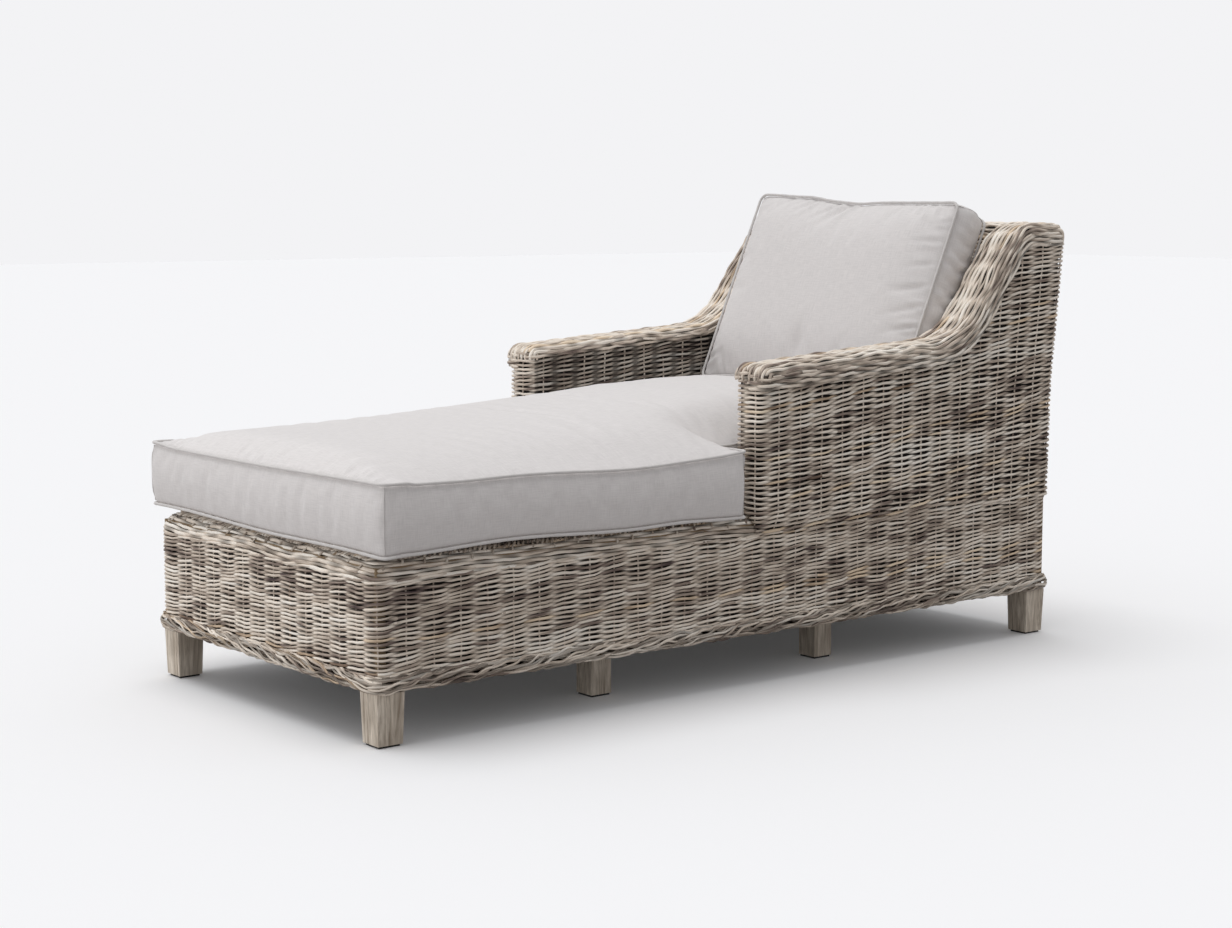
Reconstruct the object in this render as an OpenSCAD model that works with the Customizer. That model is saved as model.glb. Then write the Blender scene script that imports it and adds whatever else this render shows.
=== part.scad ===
// Woven rattan chaise lounger: wooden frame on eight legs, woven panels,
// wrapped arms that sweep up into a fixed back, and two loose cushions.
// X runs across, Y from the foot to the head, Z up, with the floor at zero.

/* [Base] */
// Length of the woven base, foot face to head face
base_l = 1760; // [1740:10:1800]
// Width of the woven base over its side panels
base_w = 812; // [800:2:820]
// Height of the underside of the woven base above the floor
leg_h = 98; // [90:1:110]
// Height of the woven deck that the seat cushion lies on
deck_z = 340; // [336:1:346]
// Thickness of every woven panel
wicker_t = 10; // [8:1:12]

/* [Legs] */
// Width of a corner leg at its foot
corner_leg_w = 51; // [46:1:54]
// Width of a middle leg
mid_leg_w = 48; // [44:1:50]
// Thickness of the glide pad under each leg
glide_t = 4; // [3:1:6]

/* [Arms and back] */
// How far each arm stands out beyond the base panel below it
arm_flare = 20; // [16:1:22]
// Width of the arm over its outer and inner woven faces
arm_w = 74; // [72:1:78]
// Width of the band of long strands laid along the arm top
band_w = 98; // [94:1:102]
// Thickness of that band
band_t = 30; // [26:1:32]
// Height of the arm top at its front end
arm_z = 635; // [620:5:650]
// Height of the top of the back
back_z = 908; // [900:2:920]
// How far the top of the back leans out behind the base
back_flare = 26; // [20:2:30]
// Slope of the arm top
arm_slope = 3.6; // [2:0.2:4]
// Slope of the sweep between the arm top and the back top
sweep_slope = 53; // [50:1:56]

/* [Cushions] */
// Width of the seat cushion over its wide front part, without piping
seat_w = 867; // [856:1:872]
// Height of the seat cushion at its edge
seat_edge_h = 128; // [118:2:130]
// Extra height of the seat cushion at its highest point
seat_crown = 94; // [70:2:96]
// Width of the back cushion without piping
back_cushion_w = 637; // [620:1:645]
// Height of the back cushion along its own face
back_cushion_h = 442; // [430:2:446]
// Thickness of the back cushion at its edge
back_cushion_t = 100; // [90:1:104]
// Lean of the back cushion and of the woven back behind it
back_lean = 24; // [23:0.5:25]
// Projection and width of the piping
piping = 3.5; // [3:0.5:4]

/* [Hidden] */
$fn = 48;

// Woven faces and where the whole length is centred
border_out = 10;
foot_y = -(base_l + back_flare - border_out) / 2;
head_y = foot_y + base_l;
flare_y = head_y + back_flare;
base_x = base_w / 2;
arm_x = base_x + arm_flare;
frame_x = base_x - wicker_t;
band_out = arm_x + 10;
band_in = band_out - band_w;
arm_in = arm_x - arm_w;

// Frame timber
timber = 34;
post = 40;
rail_x = frame_x - timber;
lower_top = leg_h + post;
seat_rail_z = deck_z - 20;
slat_t = 20;
border_h = 34;
border_top = leg_h + border_h;
shoulder = wicker_t + timber;
front_y = foot_y + wicker_t;
rear_y = head_y - wicker_t;
cross_ys = [foot_y + 578, head_y - 591];
cross_w = 44;

// Legs
leg_top_w = corner_leg_w + 6;
mid_leg_x = 280;
bolt_r = 4;
bolt_up = 36;
bolt_down = 50;
flute_r = 2.2;

// Arm and back side view: y and z of the sweep
arm_front_y = foot_y + 890;
band_front_y = arm_front_y - 10;
back_top_y = head_y - 84;
back_foot_y = back_top_y - 5 - (back_z - band_t - deck_z) * tan(back_lean);
dip_r = 170;
brow_r = 110;
edge_r = 45;
flare_z = back_z - edge_r;
flare_from_z = 560;
arm_foot_z = deck_z - shoulder;
arm_wall_z = arm_foot_z + 40;
arm_rail_t = 34;
under_band = 1; // clearance left under the bands
dip_run = dip_r * (sin(sweep_slope) - sin(arm_slope));
dip_rise = dip_r * (cos(arm_slope) - cos(sweep_slope));
brow_run = brow_r * sin(sweep_slope);
brow_rise = brow_r * (1 - cos(sweep_slope));
dip_y = (back_top_y - dip_run - brow_run
    - (back_z - arm_z + tan(arm_slope) * band_front_y - dip_rise - brow_rise) / tan(sweep_slope))
    / (1 - tan(arm_slope) / tan(sweep_slope));

// Cushions
gap = 0.5;
cover_t = 1.5;
seat_z = deck_z + gap;
seat_front_y = foot_y + 5;
ear_y = arm_front_y - 67;
seat_rear_y = back_foot_y - 9;
seat_peak_y = ear_y + 120;
seat_rear_drop = 48;
seat_foot_rise = 28;
seat_foot_run = 85;
foot_power = 2.5;
crown_power = 3.5;
seat_narrow_w = 2 * (band_in - 6);
corner_r = 14;
back_cushion_y = back_foot_y - 75;
back_cushion_z = deck_z + 209;
back_front_crown = 28;
back_rear_crown = 46;
zip_w = 12;
zip_t = 1.5;
slider_t = 3.6;
slider_gap = 0.4;
seat_zip_l = 580;
back_zip_l = 460;

// Colours
wicker_c = "#9c9083";
frame_c = "#8a7350";
leg_c = "#a79d8c";
fabric_c = "#cfcbc8";
trim_c = "#bdb8b4";
metal_c = "#8d9094";
pad_c = "#1d1d1d";

// A block between two opposite corners
module block(a, b) {
    translate(a) cube(b - a);
}

// An outline in y and z, carried from x0 to x1
module slab_x(x0, x1, outline) {
    translate([x0, 0, 0]) rotate([90, 0, 90]) linear_extrude(x1 - x0) polygon(outline);
}

// An outline in x and z, carried from y0 to y1
module slab_y(y0, y1, outline) {
    translate([0, y1, 0]) rotate([90, 0, 0]) linear_extrude(y1 - y0) polygon(outline);
}

// The right-hand shape, or its mirror image on the left
module on_side(side) {
    if (side > 0) children();
    else mirror([1, 0, 0]) children();
}

function reversed(list) = [for (i = [len(list) - 1:-1:0]) list[i]];
function unit(v) = v / norm(v);
function arc(c, r, a0, a1, n = 8) =
    [for (i = [0:n]) let (a = a0 + (a1 - a0) * i / n) c + r * [cos(a), sin(a)]];

// A square-cornered outline with every corner rounded to radius r
function rounded(pts, r, n = 4) = [
    for (i = [0:len(pts) - 1])
        let (p = pts[i],
             a = unit(p - pts[(i + len(pts) - 1) % len(pts)]),
             b = unit(pts[(i + 1) % len(pts)] - p))
        for (k = [0:n]) p - r * a + r * b - r * cos(90 * k / n) * b + r * sin(90 * k / n) * a
];

// Height of the arm top at y
function arm_top(y) = arm_z + tan(arm_slope) * (y - band_front_y);

// The sweep from y0 on the arm to the back top, at depth d under the surface
function sweep(d, y0) = concat(
    [[y0, arm_top(y0) - d / cos(arm_slope)]],
    arc([dip_y, arm_top(dip_y)] + dip_r * [-sin(arm_slope), cos(arm_slope)],
        dip_r + d, arm_slope - 90, sweep_slope - 90),
    arc([back_top_y, back_z - brow_r], brow_r - d, sweep_slope + 90, 90));

// Rear end of the back top, at depth d under the surface
function rear_edge(d, a0, a1) = arc([flare_y - edge_r, flare_z], edge_r - d, a0, a1, 5);

// Front face of the woven back at height z
function back_face(z) = back_foot_y + (z - deck_z) * tan(back_lean);

// Outer face of the rear at height z, less the depth d
function rear_face(z, d) =
    head_y - d + max(0, z - flare_from_z) / (flare_z - flare_from_z) * back_flare;

// A square leg centred on the bolt line, tapered from the top down
module leg_body(w_top, w_foot) {
    side = [[-w_top / 2, leg_h], [w_top / 2, leg_h], [w_foot / 2, glide_t], [-w_foot / 2, glide_t]];
    difference() {
        intersection() {
            slab_x(-w_top, w_top, side);
            slab_y(-w_top, w_top, side);
        }
        translate([0, 0, leg_h - bolt_down]) cylinder(r = bolt_r, h = bolt_down + 1);
    }
}

// Middle of a corner leg, so that its foot lines up with the frame
function corner_leg_at(rear) = [
    frame_x + 2 - corner_leg_w / 2,
    rear ? rear_y - corner_leg_w / 2 : front_y + corner_leg_w / 2];

module corner_leg(side, rear) {
    at = corner_leg_at(rear);
    out = rear ? 1 : -1;
    tilt = atan((leg_top_w - corner_leg_w) / 2 / (leg_h - glide_t));
    color(leg_c) on_side(side) translate([at.x, at.y, 0]) difference() {
        leg_body(leg_top_w, corner_leg_w);
        for (x = [-17, -9])
            translate([x, out * corner_leg_w / 2, 0]) rotate([-out * tilt, 0, 0])
                translate([0, 0, -5]) cylinder(r = flute_r, h = leg_h + 10, $fn = 24);
    }
}

module mid_leg(side, i) {
    color(leg_c) on_side(side) translate([mid_leg_x, cross_ys[i], 0]) leg_body(mid_leg_w, mid_leg_w);
}

// Plan position of all eight legs
leg_places = [
    for (s = [-1, 1]) each [
        [s * corner_leg_at(false).x, corner_leg_at(false).y],
        [s * corner_leg_at(true).x, corner_leg_at(true).y],
        [s * mid_leg_x, cross_ys[0]],
        [s * mid_leg_x, cross_ys[1]],
    ]
];

module leg_bolts() {
    color(metal_c) for (p = leg_places)
        translate([p.x, p.y, leg_h - bolt_down]) cylinder(r = bolt_r - 0.05, h = bolt_down + bolt_up);
}

module leg_glides() {
    w = 43;
    color(pad_c) for (p = leg_places)
        block([p.x - w / 2, p.y - w / 2, 0], [p.x + w / 2, p.y + w / 2, glide_t]);
}

// Holes for the leg bolts in whatever stands on the legs
module bolt_holes() {
    difference() {
        children();
        for (p = leg_places)
            translate([p.x, p.y, leg_h - 1]) cylinder(r = bolt_r, h = bolt_up + 2);
    }
}

module corner_post(side) {
    color(frame_c) bolt_holes() on_side(side)
        block([frame_x - post, front_y, leg_h], [frame_x, front_y + post, seat_rail_z - timber]);
}

module back_post(side) {
    top = flare_z - 11;
    outline = [
        [rear_y - post, leg_h], [rear_y, leg_h], [rear_y, flare_from_z],
        [rear_face(top, wicker_t), top], [rear_face(top, wicker_t) - post, top],
        [rear_y - post, flare_from_z],
    ];
    color(frame_c) bolt_holes() on_side(side) slab_x(rail_x, frame_x, outline);
}

module lower_rail_end(y0, x) {
    color(frame_c) block([-x, y0, leg_h], [x, y0 + timber, lower_top]);
}

module lower_rail_side(side) {
    color(frame_c) on_side(side)
        block([rail_x, front_y + post, leg_h], [frame_x, rear_y - post, lower_top]);
}

module cross_rail(i) {
    y = cross_ys[i];
    color(frame_c) bolt_holes()
        block([-rail_x, y - cross_w / 2, leg_h], [rail_x, y + cross_w / 2, lower_top]);
}

module seat_rail_end(y0, x) {
    color(frame_c) block([-x, y0, seat_rail_z - timber], [x, y0 + timber, seat_rail_z]);
}

module seat_rail_side(side) {
    color(frame_c) on_side(side) block(
        [rail_x, front_y + timber, seat_rail_z - timber], [frame_x, rear_y - post, seat_rail_z]);
}

module seat_slats() {
    count = 9;
    width = 60;
    first = front_y + timber + 30;
    pitch = (back_foot_y - 20 - width - first) / (count - 1);
    color(frame_c) for (i = [0:count - 1])
        block([-rail_x, first + i * pitch, deck_z - wicker_t - slat_t],
              [rail_x, first + i * pitch + width, deck_z - wicker_t]);
}

module back_foot_rail() {
    y = back_face(seat_rail_z) + wicker_t;
    color(frame_c) block([-rail_x, y, seat_rail_z - timber], [rail_x, y + 50, seat_rail_z]);
}

module back_top_rail() {
    color(frame_c) block(
        [-frame_x, back_top_y + 21, flare_z - 11], [frame_x, flare_y - edge_r, back_z - band_t]);
}

module back_slats() {
    count = 6;
    width = 30;
    top = flare_z - 11;
    near = wicker_t / cos(back_lean) + 1;
    deep = near + 16;
    pitch = (2 * rail_x - width - 60) / (count - 1);
    outline = [
        [back_face(seat_rail_z) + near, seat_rail_z], [back_face(seat_rail_z) + deep, seat_rail_z],
        [back_face(top) + deep, top], [back_face(top) + near, top],
    ];
    color(frame_c) for (i = [0:count - 1])
        slab_x(-rail_x + 30 + i * pitch, -rail_x + 30 + i * pitch + width, outline);
}

module arm_post(side) {
    y = arm_front_y + wicker_t;
    color(frame_c) on_side(side) block(
        [rail_x, y, seat_rail_z], [frame_x, y + post, arm_top(y) - band_t - arm_rail_t - under_band]);
}

module arm_rail(side) {
    y0 = arm_front_y + wicker_t;
    y1 = back_top_y + 21;
    color(frame_c) on_side(side) slab_x(rail_x, frame_x, concat(
        sweep(band_t, y0),
        [[y1, back_z - band_t], [y1, back_z - band_t - arm_rail_t]],
        reversed(sweep(band_t + arm_rail_t, y0))));
}

module base_wicker_front() {
    color(wicker_c) block([-base_x, foot_y, border_top], [base_x, front_y, deck_z - shoulder]);
}

module base_wicker_side(side) {
    color(wicker_c) on_side(side)
        block([frame_x, front_y, border_top], [base_x, rear_y, deck_z - shoulder]);
}

module rear_wicker() {
    outline = [
        [rear_y, border_top], [head_y, border_top], [head_y, flare_from_z], [flare_y, flare_z],
        [flare_y - wicker_t, flare_z], [rear_y, flare_from_z],
    ];
    x = arm_x - wicker_t;
    color(wicker_c) difference() {
        slab_x(-x, x, outline);
        for (s = [-1, 1]) on_side(s) {
            block([base_x, rear_y - 1, leg_h], [x + 1, head_y + 1, arm_foot_z]);
            block([frame_x, rear_y - 1, arm_foot_z], [x + 1, head_y + 1, arm_wall_z]);
        }
    }
}

// Outer, front and inner faces of one arm, woven in one piece
module arm_wicker(side) {
    band_line = reversed(sweep(band_t, arm_front_y));
    outer = concat(
        [[arm_front_y, arm_foot_z], [head_y, arm_foot_z], [head_y, flare_from_z],
         [flare_y, flare_z]],
        rear_edge(band_t, 0, 90), band_line);
    flared = [
        [frame_x, arm_foot_z], [base_x, arm_foot_z], [arm_x, arm_wall_z], [arm_x, back_z],
        [arm_x - wicker_t, back_z], [arm_x - wicker_t, arm_wall_z],
    ];
    inner = concat([[arm_front_y, deck_z], [back_top_y, deck_z]], band_line);
    ahead_of_back = [
        [arm_front_y - 1, deck_z - 1], [back_face(deck_z - 1), deck_z - 1],
        [back_face(back_z), back_z], [arm_front_y - 1, back_z],
    ];
    color(wicker_c) on_side(side) {
        intersection() {
            slab_x(frame_x - 1, arm_x + 1, outer);
            slab_y(arm_front_y - 1, flare_y + 1, flared);
        }
        intersection() {
            slab_x(arm_in, arm_in + wicker_t, inner);
            slab_x(arm_in - 1, arm_x, ahead_of_back);
        }
        block([arm_in + wicker_t / 2, arm_front_y, deck_z],
              [arm_x - wicker_t / 2, arm_front_y + wicker_t,
               arm_top(arm_front_y) - band_t - under_band]);
    }
}

module back_inner_wicker() {
    top = back_z - band_t - under_band;
    deep = wicker_t / cos(back_lean);
    x = arm_in + wicker_t;
    color(wicker_c) slab_x(-x, x, [
        [back_face(deck_z), deck_z], [back_face(deck_z) + deep, deck_z],
        [back_face(top) + deep, top], [back_face(top), top],
    ]);
}

module seat_deck_wicker() {
    y0 = foot_y + wicker_t + timber;
    color(wicker_c) block([-rail_x, y0, deck_z - wicker_t], [rail_x, back_foot_y + 2, deck_z]);
}

module arm_band(side) {
    outline = concat(
        sweep(0, band_front_y), rear_edge(0, 90, 0),
        rear_edge(band_t, 0, 90), reversed(sweep(band_t, band_front_y)));
    color(wicker_c) on_side(side) slab_x(band_in, band_out, outline);
}

module back_top_band() {
    r = band_t / 2;
    outline = concat(
        arc([back_top_y - 7 + r, back_z - r], r, 270, 90), rear_edge(0, 90, 0),
        rear_edge(band_t, 0, 90));
    color(wicker_c) slab_x(-band_in, band_in, outline);
}

module bottom_border_end(y0) {
    x = base_x + border_out;
    color(wicker_c) block([-x, y0, leg_h], [x, y0 + wicker_t + border_out, border_top]);
}

module bottom_border_side(side) {
    color(wicker_c) on_side(side)
        block([frame_x, front_y, leg_h], [base_x + border_out, rear_y, border_top]);
}

// Rounded shoulder between a base panel and the deck: depth from the woven face, and height
shoulder_outline = concat(
    [[wicker_t, deck_z - shoulder], [0, deck_z - shoulder]],
    arc([shoulder, deck_z - shoulder], shoulder, 180, 90),
    [[shoulder, seat_rail_z], [wicker_t, seat_rail_z]]);

// Everything on one side of the mitre at the right front corner
module mitre(front) {
    reach = 2 * base_x;
    spare = 10;
    c = [base_x, foot_y];
    near = front ? [0, -spare] : [spare, 0];
    far = front ? [-reach, -spare] : [spare, reach];
    translate([0, 0, leg_h]) linear_extrude(deck_z) polygon([c, c + [-reach, reach], c + far, c + near]);
}

module top_border_front() {
    color(wicker_c) intersection() {
        slab_x(-base_x, base_x, [for (p = shoulder_outline) [foot_y + p.x, p.y]]);
        mitre(true);
        mirror([1, 0, 0]) mitre(true);
    }
}

module top_border_side(side) {
    color(wicker_c) on_side(side) intersection() {
        slab_y(foot_y, arm_front_y, [for (p = shoulder_outline) [base_x - p.x, p.y]]);
        mitre(false);
    }
}

// Plan of the seat cushion, drawn in by e
function seat_outline(e) =
    let (w = seat_w / 2 - e, n = seat_narrow_w / 2 - e)
    rounded([[-w, seat_front_y + e], [w, seat_front_y + e], [w, ear_y - e], [n, ear_y - e],
             [n, seat_rear_y - e], [-n, seat_rear_y - e], [-n, ear_y - e], [-w, ear_y - e]],
            corner_r - e);

// Height of the crown along the seat cushion: a round foot edge, then a long even rise
function seat_ridge(y) =
    let (edge = seat_z + seat_edge_h + 4,
         peak = seat_z + seat_edge_h + seat_crown,
         along = (y - seat_front_y) / (seat_peak_y - seat_front_y),
         foot = 1 - pow(1 - min(1, (y - seat_front_y) / seat_foot_run), foot_power),
         behind = (y - seat_peak_y) / (seat_rear_y - seat_peak_y))
    y < seat_peak_y
        ? edge + seat_foot_rise * foot + (peak - edge - seat_foot_rise) * along
        : peak - seat_rear_drop * behind * behind;

// Height of the crown across the seat cushion
function seat_camber(x) =
    seat_z + seat_edge_h + seat_crown * (1 - pow(abs(2 * x / seat_w), crown_power));

// Seat cushion, drawn in by e on every face
module seat_body(e) {
    w = seat_w / 2;
    steps = 24;
    dx = seat_w / steps;
    dy = (seat_rear_y - seat_front_y) / steps;
    intersection() {
        translate([0, 0, seat_z + e]) linear_extrude(300) polygon(seat_outline(e));
        slab_y(seat_front_y, seat_rear_y, concat(
            [[w, 0], [-w, 0]],
            [for (i = [0:steps]) let (x = -w + i * dx) [x, seat_camber(x) - e]]));
        slab_x(-w, w, concat(
            [[seat_rear_y, 0], [seat_front_y, 0]],
            [for (i = [0:steps]) let (y = seat_front_y + i * dy) [y, seat_ridge(y) - e]]));
    }
}

// A square cord round an outline, between two heights
module cord_ring(outer, inner, z0) {
    translate([0, 0, z0]) linear_extrude(2 * piping) difference() {
        polygon(outer);
        polygon(inner);
    }
}

module seat_cushion_foam() {
    color("#e8dcc0") seat_body(cover_t);
}

module seat_cushion_cover() {
    color(fabric_c) difference() {
        seat_body(0);
        seat_body(cover_t);
    }
}

module seat_cushion_piping() {
    color(trim_c) for (z = [seat_z + 1, seat_z + seat_edge_h - 2 * piping])
        cord_ring(seat_outline(-piping), seat_outline(0), z);
}

// Height of the zip on the rear face of the seat cushion
seat_zip_z = seat_z + seat_edge_h / 2;

module seat_cushion_zip() {
    color(trim_c) block([-seat_zip_l / 2, seat_rear_y, seat_zip_z - zip_w / 2],
                        [seat_zip_l / 2, seat_rear_y + zip_t, seat_zip_z + zip_w / 2]);
}

module seat_zip_slider() {
    y = seat_rear_y + zip_t + slider_gap;
    x = -seat_zip_l / 2 + 2;
    color(metal_c) {
        block([x, y, seat_zip_z - 4.5], [x + 11, y + slider_t, seat_zip_z + 4.5]);
        block([x + 3, y + slider_t - 1.2, seat_zip_z - 26], [x + 8, y + slider_t, seat_zip_z - 4.5]);
    }
}

// Places the back cushion: its own lower front edge becomes the origin
module back_place() {
    translate([0, back_cushion_y, back_cushion_z]) rotate([-back_lean, 0, 0]) children();
}

function back_outline(e) =
    let (w = back_cushion_w / 2 - e, h = back_cushion_h)
    rounded([[-w, e], [w, e], [w, h - e], [-w, h - e]], corner_r - e);

// Front and rear arcs of the cushion between two ends, drawn in by e
function back_lens(a, b, e) =
    let (m = (a + b) / 2, half = (b - a) / 2, n = 14)
    concat(
        [for (i = [0:n]) let (s = -1 + 2 * i / n) [m + half * s, e - back_front_crown * (1 - s * s)]],
        [for (i = [0:n]) let (s = 1 - 2 * i / n)
            [m + half * s, back_cushion_t - e + back_rear_crown * (1 - s * s)]]);

// Back cushion in its own place, drawn in by e on every face
module back_body(e) {
    w = back_cushion_w / 2;
    intersection() {
        translate([0, back_cushion_t + 100, 0]) rotate([90, 0, 0])
            linear_extrude(back_cushion_t + 200) polygon(back_outline(e));
        linear_extrude(2 * back_cushion_h, center = true) polygon(back_lens(-w, w, e));
        slab_x(-w, w, [for (p = back_lens(0, back_cushion_h, e)) [p.y, p.x]]);
    }
}

module back_cushion_fill() {
    color("#e8dcc0") back_place() back_body(cover_t);
}

module back_cushion_cover() {
    color(fabric_c) back_place() difference() {
        back_body(0);
        back_body(cover_t);
    }
}

module back_cushion_piping() {
    color(trim_c) back_place() for (y = [2 * piping, back_cushion_t])
        translate([0, y, 0]) rotate([90, 0, 0]) cord_ring(back_outline(-piping), back_outline(0), 0);
}

module back_cushion_zip() {
    y = back_cushion_t / 2 - 18;
    color(trim_c) back_place()
        block([-back_zip_l / 2, y, -zip_t], [back_zip_l / 2, y + zip_w, 0]);
}

module back_zip_slider() {
    y = back_cushion_t / 2 - 18 + zip_w / 2;
    x = -back_zip_l / 2 + 2;
    z = -zip_t - slider_gap;
    color(metal_c) back_place() {
        block([x, y - 4.5, z - slider_t], [x + 11, y + 4.5, z]);
        block([x + 3, y - 22, z - slider_t], [x + 8, y - 4.5, z - slider_t + 1.2]);
    }
}

corner_leg(-1, false);  // leg_front_left
corner_leg(1, false);  // leg_front_right
corner_leg(-1, true);  // leg_rear_left
corner_leg(1, true);  // leg_rear_right
mid_leg(-1, 0);  // leg_mid_front_left
mid_leg(1, 0);  // leg_mid_front_right
mid_leg(-1, 1);  // leg_mid_rear_left
mid_leg(1, 1);  // leg_mid_rear_right
leg_bolts();
leg_glides();
corner_post(-1);  // corner_post_left
corner_post(1);  // corner_post_right
back_post(-1);  // back_post_left
back_post(1);  // back_post_right
lower_rail_end(front_y, frame_x - post);  // lower_rail_front
lower_rail_end(rear_y - timber, rail_x);  // lower_rail_rear
lower_rail_side(-1);  // lower_rail_left
lower_rail_side(1);  // lower_rail_right
cross_rail(0);  // cross_rail_front
cross_rail(1);  // cross_rail_rear
seat_rail_end(front_y, frame_x);  // seat_rail_front
seat_rail_end(rear_y - timber, rail_x);  // seat_rail_rear
seat_rail_side(-1);  // seat_rail_left
seat_rail_side(1);  // seat_rail_right
seat_slats();
back_foot_rail();
back_top_rail();
back_slats();
arm_post(-1);  // arm_post_left
arm_post(1);  // arm_post_right
arm_rail(-1);  // arm_rail_left
arm_rail(1);  // arm_rail_right
base_wicker_front();
base_wicker_side(-1);  // base_wicker_left
base_wicker_side(1);  // base_wicker_right
rear_wicker();
arm_wicker(-1);  // arm_wicker_left
arm_wicker(1);  // arm_wicker_right
back_inner_wicker();
seat_deck_wicker();
arm_band(-1);  // arm_band_left
arm_band(1);  // arm_band_right
back_top_band();
bottom_border_end(foot_y - border_out);  // bottom_border_front
bottom_border_end(rear_y);  // bottom_border_rear
bottom_border_side(-1);  // bottom_border_left
bottom_border_side(1);  // bottom_border_right
top_border_front();
top_border_side(-1);  // top_border_left
top_border_side(1);  // top_border_right
seat_cushion_foam();
seat_cushion_cover();
seat_cushion_piping();
seat_cushion_zip();
seat_zip_slider();
back_cushion_fill();
back_cushion_cover();
back_cushion_piping();
back_cushion_zip();
back_zip_slider();
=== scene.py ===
"""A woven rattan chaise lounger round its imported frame: canes, borders, bands, legs and cushions."""

import math

import bpy
import numpy as np
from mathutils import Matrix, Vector
from mathutils.kdtree import KDTree


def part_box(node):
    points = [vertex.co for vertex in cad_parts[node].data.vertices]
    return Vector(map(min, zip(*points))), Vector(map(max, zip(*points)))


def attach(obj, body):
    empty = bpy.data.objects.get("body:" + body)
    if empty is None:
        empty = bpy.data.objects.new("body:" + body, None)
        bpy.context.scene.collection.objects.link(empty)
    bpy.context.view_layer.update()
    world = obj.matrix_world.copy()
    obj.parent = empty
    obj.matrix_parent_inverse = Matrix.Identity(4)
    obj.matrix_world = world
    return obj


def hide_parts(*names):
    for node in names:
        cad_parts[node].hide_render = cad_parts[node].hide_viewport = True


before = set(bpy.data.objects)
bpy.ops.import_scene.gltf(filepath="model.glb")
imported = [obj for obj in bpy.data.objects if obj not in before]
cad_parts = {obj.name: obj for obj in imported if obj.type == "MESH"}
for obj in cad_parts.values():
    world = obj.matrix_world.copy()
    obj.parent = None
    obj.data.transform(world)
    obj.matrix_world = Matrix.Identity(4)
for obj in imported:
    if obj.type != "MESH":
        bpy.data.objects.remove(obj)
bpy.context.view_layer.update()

rng = np.random.default_rng(11)

# ---------------------------------------------------------------- measures taken from the frame
front_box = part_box("base_wicker_front")
side_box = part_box("base_wicker_right")
arm_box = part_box("arm_wicker_right")
band_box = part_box("arm_band_right")
back_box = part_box("back_inner_wicker")
border_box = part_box("bottom_border_front")
seat_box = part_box("seat_cushion_cover")
back_cushion_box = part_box("back_cushion_cover")

WICKER = side_box[1].x - side_box[0].x
FOOT_Y = front_box[0].y
BASE_X = front_box[1].x
HEAD_Y = side_box[1].y + WICKER
DECK_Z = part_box("seat_deck_wicker")[1].z
BORDER_LOW = border_box[0].z
BORDER_TOP = border_box[1].z
SHOULDER_Z = front_box[1].z
SHOULDER = DECK_Z - SHOULDER_Z
ARM_X = arm_box[1].x
ARM_IN = arm_box[0].x
ARM_Y = arm_box[0].y
BAND_IN = band_box[0].x
BAND_OUT = band_box[1].x
BAND_Y = band_box[0].y
BACK_Z = band_box[1].z
FLARE_Y = band_box[1].y
BACK_FOOT_Y = back_box[0].y

# The sweep from the arm up to the back
ARM_Z = 0.635
ARM_SLOPE = math.radians(3.6)
SWEEP_SLOPE = math.radians(53)
DIP_R = 0.170
BROW_R = 0.110
EDGE_R = 0.045
BACK_TOP_Y = HEAD_Y - 0.084
FLARE_FROM_Z = 0.560
LEAN = math.radians(24)
SEAM_SLOPE = math.radians(1.2)

# Canes
STAKE = 0.058
CANE = 0.0029
END_TAPER = 0.55
ROPE_STEP = 0.0085
WRAP_STEP = 0.0072
TINY = 1e-12


# ---------------------------------------------------------------- outlines
def unit(rows):
    """Every row brought to length 1."""
    return rows / (np.linalg.norm(rows, axis=1)[:, None] + TINY)


def lengths_along(line):
    """The length from the start of a line to each of its points."""
    return np.r_[0, np.cumsum(np.linalg.norm(np.diff(line, axis=0), axis=1))]


def ease(t):
    """A smooth step from 0 to 1."""
    t = np.clip(t, 0, 1)
    return t * t * (3 - 2 * t)


def bell(t, middle, width):
    return np.exp(-((t - middle) / width) ** 2)


def line_to(points, radii, closed=False, step=0.002):
    """Dense points along straight runs joined by arcs of the given radii."""
    pts = [np.array(p, float) for p in points]
    count = len(pts)
    out = []
    for i in range(count):
        p = pts[i]
        if not closed and i in (0, count - 1):
            out.append(p)
            continue
        a = pts[i - 1] - p
        b = pts[(i + 1) % count] - p
        a, b = a / np.linalg.norm(a), b / np.linalg.norm(b)
        half = math.acos(max(-1.0, min(1.0, float(a @ b)))) / 2
        r = radii[i] if hasattr(radii, "__len__") else radii
        if r < 1e-4 or half > math.pi / 2 - 1e-3:
            out.append(p)
            continue
        centre = p + (a + b) / np.linalg.norm(a + b) * (r / math.sin(half))
        v0 = p + a * r / math.tan(half) - centre
        v1 = p + b * r / math.tan(half) - centre
        turn = math.pi - 2 * half
        for k in range(9):
            t = k / 8
            w = (math.sin((1 - t) * turn) * v0 + math.sin(t * turn) * v1) / math.sin(turn)
            out.append(centre + w)
    if closed:
        out.append(out[0])
    out = np.array(out)
    keep = np.r_[True, np.linalg.norm(np.diff(out, axis=0), axis=1) > 1e-6]
    out = out[keep]
    s = lengths_along(out)
    dense = np.linspace(0, s[-1], max(2, int(s[-1] / step)))
    return dense, np.stack([np.interp(dense, s, column) for column in out.T], 1)


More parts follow.
